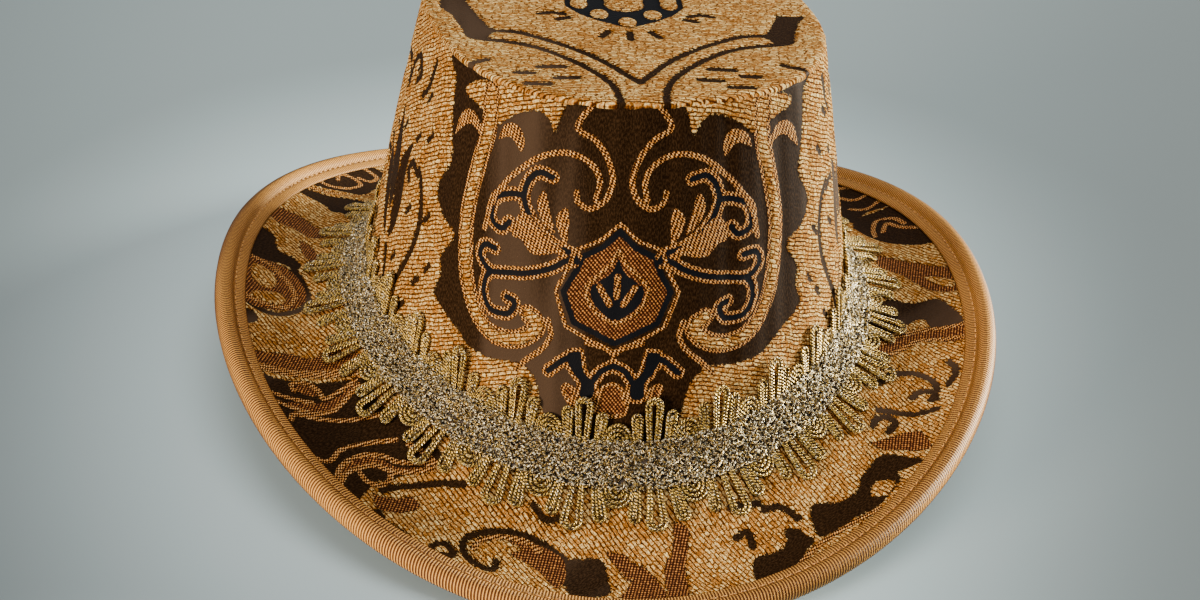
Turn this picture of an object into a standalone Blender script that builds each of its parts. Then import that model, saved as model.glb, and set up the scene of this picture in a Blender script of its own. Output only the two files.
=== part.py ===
"""A tapered, flat-topped brocade hat with a wide curved brim.

The crown is a cloth wall under a flat top piece. The brim is an oval ring of cloth whose
edge is bound in ribbon round a thick roll, and a looped gimp braid covers the corner where
the crown meets the brim.

Metres, +Z up. The front of the hat faces -Y and the wearer's left is +X. The origin is on
the surface that the hat rests on, below the middle of the crown.
"""

import math

import bmesh
import bpy
from mathutils import Vector

# Cloth and clearances
CLOTH = 0.0025
GAP = 0.0003

# Crown: the head opening, the smaller oval at the top and the height between them
HEAD_HALF_WIDTH = 0.0837
HEAD_HALF_LENGTH = 0.0987
TIP_HALF_WIDTH = 0.0643
TIP_HALF_LENGTH = 0.0718
TIP_FULLNESS = 2.38
TIP_TURN = math.radians(13.0)
TIP_EDGE_ROUND = 0.0014
CROWN_HEIGHT = 0.1007
CROWN_BELLY = 0.0008

# Brim: the oval outline of its bound edge, and how far it falls at the front and back
BRIM_HALF_WIDTH = 0.1385
BRIM_HALF_LENGTH = 0.1571
BRIM_FULLNESS = 2.1
SIDE_RISE = 0.0018
END_FALL = 0.0321
JOINT_FALL = 0.0130

# Brim slopes, as rise over run going outward: beside the crown and at the edge
SIDE_SLOPE_IN = -0.25
SIDE_SLOPE_OUT = 0.49
END_SLOPE_IN = -0.55
END_SLOPE_OUT = 0.09

# Ribbon binding: its width on the brim, and the roll that it forms round the edge
BINDING_WIDTH = 0.0103
RIBBON = 0.0012
ROLL_WIDTH = 0.0072
ROLL_HEIGHT = 0.0072
GROOVE_DEPTH = 0.0006
REST_FLAT = 0.0006

# Gimp braid: a knitted band with a row of loops along each edge
BRAID_PITCH = 0.0226
BAND_WIDTH = 0.017
BAND_THICKNESS = 0.003
LOOP_REACH = 0.014
LOOP_THICKNESS = 0.0013
CORNER_ROUND = 0.009

# One repeat of the braid's looped edge: place in the repeat, and reach as a share of LOOP_REACH
LOOP_EDGE = (
    (0.00, 0.25),
    (0.14, 0.68),
    (0.25, 0.66),
    (0.36, 1.00),
    (0.47, 0.66),
    (0.58, 0.68),
    (0.70, 0.25),
    (0.85, 0.48),
)

# Mesh steps: round the hat, up the wall and across the brim
STEPS_ROUND = 78
STEPS_UP = 3
STEPS_ACROSS = 6
LENGTH_SAMPLES = 1440

# Derived sizes
FOOT_HALF_WIDTH = HEAD_HALF_WIDTH + CLOTH
FOOT_HALF_LENGTH = HEAD_HALF_LENGTH + CLOTH
JOINT_HEIGHT = END_FALL + ROLL_HEIGHT / 2 - REST_FLAT
TOP_HEIGHT = JOINT_HEIGHT + CROWN_HEIGHT
BRIM_EDGE_INSET = RIBBON + GAP + CLOTH / 2

# Base colours from the photograph: name, red, green, blue, roughness and metallic value
CROWN_BROCADE = ("crown_brocade", 0.38, 0.20, 0.07, 0.85, 0.0)
TIP_BROCADE = ("tip_brocade", 0.47, 0.28, 0.11, 0.85, 0.0)
BRIM_BROCADE = ("brim_brocade", 0.33, 0.17, 0.06, 0.85, 0.0)
COPPER_RIBBON = ("copper_ribbon", 0.45, 0.20, 0.07, 0.55, 0.1)
GOLD_BRAID = ("gold_braid", 0.55, 0.42, 0.17, 0.4, 0.7)


def oval(turn, half_width, half_length, fullness=2.0):
    """Point at an angle on an oval; a fullness above 2 squares it slightly."""
    c = math.cos(turn)
    s = math.sin(turn)
    reach = (abs(c) ** fullness + abs(s) ** fullness) ** (-1.0 / fullness)
    return Vector((half_width * reach * c, half_length * reach * s, 0.0))


def blend(turn, side_value, end_value):
    """A value that changes smoothly from the hat's sides to its front and back."""
    return side_value * math.cos(turn) ** 2 + end_value * math.sin(turn) ** 2


def lengths_round():
    """Turn angles and the lengths along the crown's foot up to each of them."""
    turns = [2 * math.pi * i / LENGTH_SAMPLES for i in range(LENGTH_SAMPLES + 1)]
    lengths = [0.0]
    for before, after in zip(turns, turns[1:]):
        step = foot_oval(after) - foot_oval(before)
        lengths.append(lengths[-1] + step.length)
    return turns, lengths


def foot_oval(turn):
    return oval(turn, FOOT_HALF_WIDTH, FOOT_HALF_LENGTH)


TURNS, LENGTHS = lengths_round()
FOOT_LENGTH = LENGTHS[-1]
BRAID_REPEATS = round(FOOT_LENGTH / BRAID_PITCH)


def turn_at(share):
    """Turn angle at a share of the way round the crown's foot, starting at the front."""
    length = ((share - 0.25) % 1.0) * FOOT_LENGTH
    low = 0
    high = len(LENGTHS) - 1
    while high - low > 1:
        middle = (low + high) // 2
        if LENGTHS[middle] > length:
            high = middle
        else:
            low = middle
    part = (length - LENGTHS[low]) / (LENGTHS[high] - LENGTHS[low])
    return TURNS[low] + part * (TURNS[high] - TURNS[low])


def stations():
    """Turn angles that are evenly spaced along the crown's foot."""
    return [turn_at(i / STEPS_ROUND) for i in range(STEPS_ROUND)]


def outward(turn):
    """Level direction that points straight out of the crown's foot."""
    direction = Vector((FOOT_HALF_LENGTH * math.cos(turn), FOOT_HALF_WIDTH * math.sin(turn), 0.0))
    return direction.normalized()


def joint_height(turn):
    """Height of the brim's upper face at the head opening."""
    return JOINT_HEIGHT - blend(turn, 0.0, JOINT_FALL)


def tip_oval(turn):
    """Outline of the crown's top, which is set on a little askew."""
    point = oval(turn - TIP_TURN, TIP_HALF_WIDTH, TIP_HALF_LENGTH, TIP_FULLNESS)
    c = math.cos(TIP_TURN)
    s = math.sin(TIP_TURN)
    return Vector((c * point.x - s * point.y, s * point.x + c * point.y, 0.0))


def wall_point(turn, share):
    """Point on the wall's outer face, at a share of the way from its foot to the top."""
    foot = foot_oval(turn)
    foot.z = joint_height(turn)
    top = tip_oval(turn)
    top.z = TOP_HEIGHT
    return foot.lerp(top, share) + outward(turn) * CROWN_BELLY * math.sin(math.pi * share)


def wall_length(turn):
    return (wall_point(turn, 1.0) - wall_point(turn, 0.0)).length


def wall_normal(turn):
    run = (foot_oval(turn) - tip_oval(turn)).dot(outward(turn))
    rise = TOP_HEIGHT - joint_height(turn)
    return (outward(turn) * rise + Vector((0.0, 0.0, run))).normalized()


def edge_point(turn, inset, height):
    """Point of the bound edge: inset is measured in from its rim, height off its middle."""
    slope = math.atan(blend(turn, SIDE_SLOPE_OUT, END_SLOPE_OUT))
    level = inset * math.cos(slope) + height * math.sin(slope)
    point = oval(turn, BRIM_HALF_WIDTH - level, BRIM_HALF_LENGTH - level, BRIM_FULLNESS)
    rim = JOINT_HEIGHT + SIDE_RISE * abs(math.cos(turn)) ** 2.2 - blend(turn, 0.0, END_FALL)
    point.z = rim - inset * math.sin(slope) + height * math.cos(slope)
    return point


def brim_point(turn, share):
    """Point on the brim's middle surface between the head opening and the ribbon."""
    inner = oval(turn, HEAD_HALF_WIDTH, HEAD_HALF_LENGTH)
    inner.z = joint_height(turn) - CLOTH / 2
    outer = edge_point(turn, BINDING_WIDTH, 0.0)
    run = Vector((outer.x - inner.x, outer.y - inner.y)).length
    slope_in = blend(turn, SIDE_SLOPE_IN, END_SLOPE_IN) * run
    slope_out = blend(turn, SIDE_SLOPE_OUT, END_SLOPE_OUT) * run
    point = inner.lerp(outer, share)
    rest = 1.0 - share
    point.z = (
        inner.z * (1 + 2 * share) * rest ** 2
        + outer.z * (3 - 2 * share) * share ** 2
        + slope_in * share * rest ** 2
        - slope_out * rest * share ** 2
    )
    return point


def brim_normal(turn, share):
    step = 0.01
    along = brim_point(turn, share + step) - brim_point(turn, share - step)
    run = along.dot(outward(turn))
    return (Vector((0.0, 0.0, run)) - outward(turn) * along.z).normalized()


def braid_line(turn, across):
    """Point under the braid and the direction off the hat.

    Across is negative up the wall, zero at the corner and positive out along the brim.
    """
    if across <= -CORNER_ROUND:
        return wall_point(turn, -across / wall_length(turn)), wall_normal(turn)
    brim_run = (brim_point(turn, 1.0) - brim_point(turn, 0.0)).length
    if across >= CORNER_ROUND:
        share = (CLOTH + across) / brim_run
        normal = brim_normal(turn, share)
        return brim_point(turn, share) + normal * CLOTH / 2, normal
    high, high_normal = braid_line(turn, -CORNER_ROUND)
    low, low_normal = braid_line(turn, CORNER_ROUND)
    corner = wall_point(turn, 0.0)
    share = (across + CORNER_ROUND) / (2 * CORNER_ROUND)
    point = high.lerp(corner, share).lerp(corner.lerp(low, share), share)
    return point, high_normal.lerp(low_normal, share).normalized()


def braid_section(turn, reach):
    """Closed section of the braid where its loops reach out by a share."""
    half = BAND_WIDTH / 2
    tip = half + LOOP_REACH * reach
    under = [-tip, -CORNER_ROUND * 0.8, 0.0, CORNER_ROUND * 0.8, tip]
    over = [
        (tip, LOOP_THICKNESS),
        (half, LOOP_THICKNESS),
        (half - LOOP_THICKNESS / 2, BAND_THICKNESS),
        (0.0, BAND_THICKNESS),
        (-half + LOOP_THICKNESS / 2, BAND_THICKNESS),
        (-half, LOOP_THICKNESS),
        (-tip, LOOP_THICKNESS),
    ]
    section = []
    for across, thickness in [(value, 0.0) for value in under] + over:
        point, normal = braid_line(turn, across)
        section.append(point + normal * (GAP + thickness))
    return section


def binding_section(turn):
    """Closed section of the ribbon: the roll, the groove behind it and the flat lips."""
    inside = CLOTH / 2 + GAP
    lip = inside + RIBBON
    roll = ROLL_HEIGHT / 2
    slot = BRIM_EDGE_INSET - GAP
    outline = (
        (slot, inside),
        (slot, -inside),
        (BINDING_WIDTH, -inside),
        (BINDING_WIDTH, -lip),
        (ROLL_WIDTH * 0.85, -roll * 0.88),
        (ROLL_WIDTH * 0.5, -roll),
        (ROLL_WIDTH * 0.15, -roll * 0.72),
        (0.0, 0.0),
        (ROLL_WIDTH * 0.15, roll * 0.72),
        (ROLL_WIDTH * 0.5, roll),
        (ROLL_WIDTH * 0.85, roll * 0.88),
        (ROLL_WIDTH, lip - GROOVE_DEPTH),
        (ROLL_WIDTH * 1.1, lip),
        (BINDING_WIDTH, lip - RIBBON / 4),
        (BINDING_WIDTH, inside),
    )
    section = []
    for inset, height in outline:
        point = edge_point(turn, inset, height)
        point.z = max(point.z, 0.0)
        section.append(point)
    return section


def ring_mesh(name, rows, closed):
    """Mesh lofted round the hat through rows of points; closed joins each row's ends."""
    width = len(rows[0])
    vertices = [point for row in rows for point in row]
    faces = []
    for i in range(len(rows)):
        following = (i + 1) % len(rows)
        for j in range(width if closed else width - 1):
            beside = (j + 1) % width
            faces.append((
                i * width + j,
                following * width + j,
                following * width + beside,
                i * width + beside,
            ))
    mesh = bpy.data.meshes.new(name)
    mesh.from_pydata(vertices, [], faces)
    return mesh


def material(settings):
    name, red, green, blue, roughness, metallic = settings
    made = bpy.data.materials.new(name)
    made.use_nodes = True
    shader = made.node_tree.nodes["Principled BSDF"]
    shader.inputs["Base Color"].default_value = (red, green, blue, 1.0)
    shader.inputs["Roughness"].default_value = roughness
    shader.inputs["Metallic"].default_value = metallic
    made.diffuse_color = (red, green, blue, 1.0)
    return made


def add_piece(mesh, collection, settings):
    """Object for a mesh, with its material and smooth shading."""
    mesh.materials.append(material(settings))
    mesh.shade_smooth()
    mesh.set_sharp_from_angle(angle=math.radians(35))
    piece = bpy.data.objects.new(mesh.name, mesh)
    collection.objects.link(piece)
    return piece


def add_solidify(piece, offset):
    solidify = piece.modifiers.new("cloth", "SOLIDIFY")
    solidify.thickness = CLOTH
    solidify.offset = offset
    solidify.use_even_offset = True


def make_crown_wall(collection):
    """Tapered wall, solid inward from its outer face, with room under its foot and top."""
    rows = []
    for turn in stations():
        length = wall_length(turn)
        foot_room = GAP + CLOTH * wall_normal(turn).z
        low = foot_room / length
        high = 1.0 - (CLOTH + GAP) / length
        shares = [low + (high - low) * i / STEPS_UP for i in range(STEPS_UP + 1)]
        rows.append([wall_point(turn, share) for share in shares])
    piece = add_piece(ring_mesh("crown_wall", rows, closed=False), collection, CROWN_BROCADE)
    add_solidify(piece, offset=-1.0)


def make_crown_tip(collection):
    """Flat top piece with a rounded upper rim."""
    shell = bmesh.new()
    bmesh.ops.create_cone(
        shell, cap_ends=True, segments=STEPS_ROUND, radius1=1.0, radius2=1.0, depth=CLOTH
    )
    middle = TOP_HEIGHT - CLOTH / 2
    for vertex in shell.verts:
        point = tip_oval(math.atan2(vertex.co.y, vertex.co.x))
        vertex.co = (point.x, point.y, middle + vertex.co.z)
    rim = [edge for edge in shell.edges if all(vertex.co.z > middle for vertex in edge.verts)]
    bmesh.ops.bevel(
        shell, geom=rim, offset=TIP_EDGE_ROUND, segments=3, profile=0.5, affect="EDGES"
    )
    mesh = bpy.data.meshes.new("crown_tip")
    shell.to_mesh(mesh)
    shell.free()
    add_piece(mesh, collection, TIP_BROCADE)


def make_brim(collection):
    """Oval ring of cloth, from the head opening to just inside the ribbon's fold."""
    rows = []
    for turn in stations():
        row = [brim_point(turn, i / STEPS_ACROSS) for i in range(STEPS_ACROSS + 1)]
        row.append(edge_point(turn, BRIM_EDGE_INSET, 0.0))
        rows.append(row)
    piece = add_piece(ring_mesh("brim", rows, closed=False), collection, BRIM_BROCADE)
    add_solidify(piece, offset=0.0)


def make_binding(collection):
    rows = [binding_section(turn) for turn in stations()]
    add_piece(ring_mesh("brim_binding", rows, closed=True), collection, COPPER_RIBBON)


def make_braid(collection):
    rows = []
    for repeat in range(BRAID_REPEATS):
        for place, reach in LOOP_EDGE:
            turn = turn_at((repeat + place) / BRAID_REPEATS)
            rows.append(braid_section(turn, reach))
    add_piece(ring_mesh("gimp_braid", rows, closed=True), collection, GOLD_BRAID)


def main():
    for leftover in list(bpy.data.objects):
        bpy.data.objects.remove(leftover, do_unlink=True)
    collection = bpy.data.collections.new("brocade_hat")
    bpy.context.scene.collection.children.link(collection)
    make_crown_wall(collection)
    make_crown_tip(collection)
    make_brim(collection)
    make_binding(collection)
    make_braid(collection)


main()
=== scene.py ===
"""Dresses the brocade hat: woven cloth, ribbon-bound brim and looped gimp braid.

Metres, +Z up, the front of the hat faces -Y. Woven patterns are charted in millimetres of
cloth. A cloth piece carries a UV map named fabric in the same millimetres, and the ribbon's
counts its ribs instead along its length.
"""

import math

import bpy
import numpy as np
from bpy.props import FloatProperty, FloatVectorProperty, IntProperty, PointerProperty
from mathutils import Matrix, Vector


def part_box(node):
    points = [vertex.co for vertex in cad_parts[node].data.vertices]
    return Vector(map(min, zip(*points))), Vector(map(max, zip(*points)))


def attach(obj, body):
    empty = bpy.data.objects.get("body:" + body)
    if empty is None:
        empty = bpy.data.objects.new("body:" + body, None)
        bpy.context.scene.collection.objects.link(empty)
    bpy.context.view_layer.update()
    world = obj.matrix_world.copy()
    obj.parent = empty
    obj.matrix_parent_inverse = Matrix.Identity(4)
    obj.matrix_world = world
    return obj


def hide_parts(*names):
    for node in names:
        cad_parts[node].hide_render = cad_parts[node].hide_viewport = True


bl_info = {
    "name": "Brocade Hat",
    "version": (1, 0, 0),
    "blender": (4, 5, 0),
    "location": "View3D > Sidebar > Hat",
    "description": "Makes the cloth, binding and braid of a brocade hat",
    "category": "Object",
}

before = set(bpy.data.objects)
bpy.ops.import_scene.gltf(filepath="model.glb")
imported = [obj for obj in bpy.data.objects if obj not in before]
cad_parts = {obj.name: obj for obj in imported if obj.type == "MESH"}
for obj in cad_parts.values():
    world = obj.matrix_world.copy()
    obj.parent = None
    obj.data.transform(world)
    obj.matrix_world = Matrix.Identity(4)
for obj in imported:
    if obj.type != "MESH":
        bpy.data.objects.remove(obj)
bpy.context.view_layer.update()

# Sizes that the frame gives
TOP_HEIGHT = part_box("crown_tip")[1].z
BRIM_HALF_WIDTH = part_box("brim_binding")[1].x
BRIM_HALF_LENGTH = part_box("brim_binding")[1].y

# Shape of the hat's parts, as in its construction
CLOTH = 0.0025
GAP = 0.0003
FOOT_HALF_WIDTH = 0.0862
FOOT_HALF_LENGTH = 0.1012
TIP_HALF_WIDTH = 0.0643
TIP_HALF_LENGTH = 0.0718
TIP_FULLNESS = 2.38
TIP_TURN = math.radians(13.0)
CROWN_BELLY = 0.0008
JOINT_HEIGHT = 0.0351
BRIM_FULLNESS = 2.1
SIDE_RISE = 0.0018
END_FALL = 0.0321
JOINT_FALL = 0.0130
SIDE_SLOPE_IN = -0.25
SIDE_SLOPE_OUT = 0.49
END_SLOPE_IN = -0.55
END_SLOPE_OUT = 0.09
BINDING_WIDTH = 0.0103
RIBBON = 0.0012
BRIM_EDGE_INSET = RIBBON + GAP + CLOTH / 2
BRAID_REPEATS = 26
BAND_WIDTH = 0.017
LOOP_REACH = 0.014
CORNER_ROUND = 0.009
SEAT_HALF = 0.025

MM = 0.001
FAR = 9.0


def metres(name, description, default):
    """Property for a length."""
    return FloatProperty(name=name, description=description, default=default, unit="LENGTH")


def millimetres(name, description, default):
    """Property for a size in the weave, in millimetres of cloth."""
    return FloatProperty(name=name, description=description, default=default)


def colour(name, description, *linear):
    """Property for a colour, with its default in linear light."""
    return FloatVectorProperty(
        name=name, description=description, subtype="COLOR", size=3, min=0.0, max=1.0,
        default=linear,
    )


class HatSizes(bpy.types.PropertyGroup):
    """Sizes of the hat's finish that a user would change."""

    pile_height: metres("Pile height", "How far the chenille stands above the satin", 0.0004)
    satin_wave: metres("Satin wave", "Depth of the soft upright waves in the crown", 0.0004)
    rib_pitch: metres("Rib pitch", "Distance between the ribbon's ribs", 0.00105)
    rib_height: metres("Rib height", "Height of the ribbon's ribs", 0.0003)
    stitch_pitch: metres("Stitch pitch", "Distance between the stitches in the groove", 0.0032)
    cord_radius: metres("Cord radius", "Radius of each cord in the braid's loops", 0.0006)
    knit_radius: metres("Knit radius", "Radius of the cords in the braid's band", 0.00052)
    cord_sides: IntProperty(
        name="Cord sides", description="Sides of each cord's section", default=6, min=5, max=8,
    )


class FabricSizes(bpy.types.PropertyGroup):
    """Sizes of the weave, in millimetres of cloth."""

    row_pitch: millimetres("Row pitch", "Distance between chenille rows", 1.4)
    tuft_length: millimetres("Tuft length", "Length of a chenille tuft along its row", 2.3)
    dash_pitch: millimetres("Dash pitch", "Distance between the gold thread's dashes", 1.3)
    twill_pitch: millimetres("Twill pitch", "Distance between the twill's lines", 1.25)


class HatColours(bpy.types.PropertyGroup):
    """Colours of the hat's threads and of the floor."""

    pile_deep: colour("Pile shade", "Shaded chenille between tufts", 0.055, 0.013, 0.0015)
    pile_mid: colour("Pile", "Chenille", 0.42, 0.155, 0.021)
    # Light fibre tips, partly a painted sheen on the chenille
    pile_light: colour("Pile tips and sheen", "Light fibres of the chenille", 1.0, 0.74, 0.29)
    satin: colour("Satin", "Dark brown satin ground", 0.0075, 0.0029, 0.0009)
    satin_light: colour("Satin threads", "Lighter threads of the satin", 0.031, 0.0145, 0.0055)
    # Painted sheen: lighter streaks painted on the satin where it catches the light
    satin_worn: colour("Satin sheen", "Light streaks along the folds of the satin", 0.048, 0.028, 0.0165)
    gold: colour("Gold thread", "Dashes of the outlines", 0.60, 0.235, 0.045)
    gold_light: colour("Gold glints", "Brightest part of each dash", 0.92, 0.62, 0.27)
    black: colour("Black thread", "Blue-black lines of the pattern", 0.004, 0.005, 0.007)
    twill_dark: colour("Twill shade", "Dark lines of the twill field", 0.022, 0.005, 0.0012)
    twill_light: colour("Twill", "Light lines of the twill field", 0.18, 0.066, 0.024)
    ribbon: colour("Ribbon", "Ribs of the ribbon", 0.86, 0.41, 0.09)
    ribbon_shade: colour("Ribbon shade", "Valleys between the ribs", 0.075, 0.018, 0.003)
    braid_gold: colour("Braid gold", "Gold thread of the braid", 0.88, 0.57, 0.11)
    # Painted glints: a pale colour flecked on the cords in place of their highlights
    braid_silver: colour("Braid glints", "Pale glints of the braid", 1.0, 0.92, 0.68)
    braid_shade: colour("Braid shade", "Dark hollows of the braid", 0.05, 0.024, 0.006)
    floor: colour("Floor", "Pale floor and backdrop", 0.24, 0.303, 0.322)


# Geometry of the hat's surfaces


def oval(turn, half_width, half_length, fullness=2.0):
    """Points at angles on an oval; a fullness above 2 squares it slightly."""
    c = np.cos(turn)
    s = np.sin(turn)
    reach = (np.abs(c) ** fullness + np.abs(s) ** fullness) ** (-1.0 / fullness)
    return np.stack((half_width * reach * c, half_length * reach * s, 0.0 * c), axis=-1)


def blend(turn, side_value, end_value):
    """A value that changes smoothly from the hat's sides to its front and back."""
    return side_value * np.cos(turn) ** 2 + end_value * np.sin(turn) ** 2


def unit(vectors):
    return vectors / np.linalg.norm(vectors, axis=-1, keepdims=True)


def mix(first, second, share):
    return first + (second - first) * share[..., None]


def outward(turn):
    """Level direction that points straight out of the crown's foot."""
    level = (FOOT_HALF_LENGTH * np.cos(turn), FOOT_HALF_WIDTH * np.sin(turn), 0.0 * turn)
    return unit(np.stack(level, axis=-1))


def tip_oval(turn):
    """Outline of the crown's top, which is set on a little askew."""
    point = oval(turn - TIP_TURN, TIP_HALF_WIDTH, TIP_HALF_LENGTH, TIP_FULLNESS)
    c = math.cos(TIP_TURN)
    s = math.sin(TIP_TURN)
    x = c * point[..., 0] - s * point[..., 1]
    y = s * point[..., 0] + c * point[..., 1]
    return np.stack((x, y, 0.0 * x), axis=-1)


def lengths_along(points):
    steps = np.linalg.norm(np.diff(points, axis=0), axis=1)
    return np.concatenate(((0.0,), np.cumsum(steps)))


TURNS = np.linspace(-1.5 * math.pi, 0.5 * math.pi, 2881)
FOOT_LENGTHS = lengths_along(oval(TURNS, FOOT_HALF_WIDTH, FOOT_HALF_LENGTH))
FOOT_LENGTH = FOOT_LENGTHS[-1]
FOOT_SHARES = FOOT_LENGTHS / FOOT_LENGTH - 0.5
TIP_LENGTHS = lengths_along(tip_oval(TURNS))
TIP_LENGTHS = TIP_LENGTHS - TIP_LENGTHS[len(TURNS) // 2]


def turn_at(share):
    """Turn at a share of the way round the crown's foot: 0 is the front, 0.25 is +X."""
    return np.interp((share + 0.5) % 1.0 - 0.5, FOOT_SHARES, TURNS)


def joint_height(turn):
    return JOINT_HEIGHT - blend(turn, 0.0, JOINT_FALL)


def wall_point(turn, share):
    """Points on the wall's outer face, at shares of the way from its foot to the top."""
    foot = oval(turn, FOOT_HALF_WIDTH, FOOT_HALF_LENGTH)
    foot[..., 2] = joint_height(turn)
    top = tip_oval(turn)
    top[..., 2] = TOP_HEIGHT
    belly = CROWN_BELLY * np.sin(math.pi * share)
    return mix(foot, top, share) + outward(turn) * belly[..., None]


def wall_length(turn):
    ends = wall_point(turn, 0.0 * turn + 1.0) - wall_point(turn, 0.0 * turn)
    return np.linalg.norm(ends, axis=-1)


def wall_normal(turn):
    foot = oval(turn, FOOT_HALF_WIDTH, FOOT_HALF_LENGTH)
    run = np.sum((foot - tip_oval(turn)) * outward(turn), axis=-1)
    normal = outward(turn) * (TOP_HEIGHT - joint_height(turn))[..., None]
    normal[..., 2] = run
    return unit(normal)


def edge_point(turn, inset, height):
    """Points of the bound edge: inset is measured in from its rim, height off its middle."""
    slope = np.arctan(blend(turn, SIDE_SLOPE_OUT, END_SLOPE_OUT))
    level = inset * np.cos(slope) + height * np.sin(slope)
    point = oval(turn, BRIM_HALF_WIDTH - level, BRIM_HALF_LENGTH - level, BRIM_FULLNESS)
    rim = JOINT_HEIGHT + SIDE_RISE * np.abs(np.cos(turn)) ** 2.2 - blend(turn, 0.0, END_FALL)
    point[..., 2] = rim - inset * np.sin(slope) + height * np.cos(slope)
    return point


def brim_point(turn, share):
    """Points on the brim's middle surface between the head opening and the ribbon."""
    inner = oval(turn, FOOT_HALF_WIDTH - CLOTH, FOOT_HALF_LENGTH - CLOTH)
    inner[..., 2] = joint_height(turn) - CLOTH / 2
    outer = edge_point(turn, BINDING_WIDTH + 0.0 * turn, 0.0)
    run = np.linalg.norm((outer - inner)[..., :2], axis=-1)
    slope_in = blend(turn, SIDE_SLOPE_IN, END_SLOPE_IN) * run
    slope_out = blend(turn, SIDE_SLOPE_OUT, END_SLOPE_OUT) * run
    point = mix(inner, outer, share)
    rest = 1.0 - share
    point[..., 2] = (
        inner[..., 2] * (1 + 2 * share) * rest ** 2
        + outer[..., 2] * (3 - 2 * share) * share ** 2
        + slope_in * share * rest ** 2
        - slope_out * rest * share ** 2
    )
    return point


def brim_normal(turn, share):
    step = 0.01
    along = brim_point(turn, share + step) - brim_point(turn, share - step)
    run = np.sum(along * outward(turn), axis=-1)
    normal = -outward(turn) * along[..., 2:3]
    normal[..., 2] = run
    return unit(normal)


def braid_line(turn, across):
    """Points under the braid and directions off the hat.

    Across is negative up the wall, zero at the corner and positive out along the brim.
    """
    high = wall_point(turn, -np.minimum(across, -CORNER_ROUND) / wall_length(turn))
    high_normal = wall_normal(turn)
    ends = brim_point(turn, 0.0 * turn + 1.0) - brim_point(turn, 0.0 * turn)
    low_share = (CLOTH + np.maximum(across, CORNER_ROUND)) / np.linalg.norm(ends, axis=-1)
    low_normal = brim_normal(turn, low_share)
    low = brim_point(turn, low_share) + low_normal * CLOTH / 2
    corner = wall_point(turn, 0.0 * turn)
    share = np.clip((across + CORNER_ROUND) / (2 * CORNER_ROUND), 0.0, 1.0)
    point = mix(mix(high, corner, share), mix(corner, low, share), share)
    return point, unit(mix(high_normal, low_normal, share))


def smooth(values, low, high):
    """Smooth rise from 0 at low to 1 at high."""
    share = np.clip((values - low) / (high - low), 0.0, 1.0)
    return share * share * (3 - 2 * share)


# Meshes made from grids of points


def in_rows(turn, rows):
    """Grid with the same turns in each of its rows."""
    return np.repeat(turn[:, None], rows, axis=1)


def grid_faces(columns, rows, closed_rows=False):
    """Quads round a closed ring of columns; closed_rows joins each column's ends too."""
    i = np.arange(columns)[:, None]
    j = np.arange(rows if closed_rows else rows - 1)[None, :]
    near = i * rows
    far = ((i + 1) % columns) * rows
    above = (j + 1) % rows
    return np.stack((near + j, far + j, far + above, near + above), axis=-1).reshape(-1, 4)


def placed(name, data):
    """New object for a mesh, curve, light or camera, in the scene."""
    made = bpy.data.objects.new(name, data)
    bpy.context.scene.collection.objects.link(made)
    return made


def put_map(mesh, name, places):
    layer = mesh.uv_layers.new(name=name)
    layer.uv.foreach_set("vector", places.astype(np.float32).ravel())


def put_field(mesh, name, values, kind="FLOAT", key="value"):
    attribute = mesh.attributes.new(name, kind, "POINT")
    attribute.data.foreach_set(key, values.astype(np.float32).ravel())


def ring_piece(name, points, material, closed_rows=True, poles=(), cloth=None, fields=None):
    """Object for a grid of points round the hat, with an optional cloth map and fields.

    Points run round the hat in their first axis and along the section in their second. Their
    last column repeats the first and is left out; the cloth keeps it, so that the faces at the
    seam aren't stretched. Rows that the fields don't reach are plain.
    """
    columns, rows = len(points) - 1, points.shape[1]
    vertices = points[:-1].reshape(-1, 3)
    polygons = [tuple(face) for face in grid_faces(columns, rows, closed_rows).tolist()]
    for row, pole in poles:
        ring = (np.arange(columns) * rows + row).tolist()
        following = ring[1:] + ring[:1]
        pairs = zip(ring, following) if row else zip(following, ring)
        polygons += [(a, b, len(vertices)) for a, b in pairs]
        vertices = np.vstack((vertices, pole))
    mesh = bpy.data.meshes.new(name)
    mesh.from_pydata(vertices.tolist(), [], polygons)
    mesh.materials.append(material)
    if cloth is not None:
        i = np.arange(columns)[:, None]
        j = np.arange(rows if closed_rows else rows - 1)[None, :]
        above = (j + 1) % rows
        corners = (cloth[i, j], cloth[i + 1, j], cloth[i + 1, above], cloth[i, above])
        flat = np.stack(corners, axis=2).reshape(-1, 2)
        extra = [place for row, _ in poles for place in pole_cloth(cloth, row, columns)]
        put_map(mesh, "fabric", np.vstack((flat, *extra)))
    for label, values in (fields or {}).items():
        plain_rows = ((0, 0), (0, rows - values.shape[1]))
        whole = np.pad(values[:-1], plain_rows, constant_values=-FAR)
        put_field(mesh, label, np.append(whole.ravel(), [FAR] * len(poles)))
    mesh.update()
    mesh.shade_smooth()
    return placed(name, mesh)


def pole_cloth(cloth, row, columns):
    """Cloth places of the triangles that close a ring at its pole."""
    middle = cloth[:columns, row].mean(axis=0)
    for i in range(columns):
        pair = (cloth[i, row], cloth[i + 1, row])
        yield from (pair if row else pair[::-1])
        yield middle


def dress(piece, slot, *nodes):
    """Lets a finished piece ride on the hat and stand for its nodes."""
    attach(piece, "root")
    if nodes:
        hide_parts(*nodes)


# The woven pattern, charted in millimetres of cloth


def curve(corners, steps=6):
    """Smooth line through chart points."""
    points = np.array(corners, float)
    padded = np.vstack((2 * points[0] - points[1], points, 2 * points[-1] - points[-2]))
    t = np.linspace(0.0, 1.0, steps, endpoint=False)[:, None]
    pieces = [
        0.5 * (2 * b + (c - a) * t + (2 * a - 5 * b + 4 * c - d) * t ** 2
               + (3 * b - a - 3 * c + d) * t ** 3)
        for a, b, c, d in zip(padded, padded[1:], padded[2:], padded[3:])
    ]
    return np.vstack((*pieces, points[-1:]))


def most(*fields):
    return np.max(fields, axis=0)


def least(*fields):
    return np.min(fields, axis=0)


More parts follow.
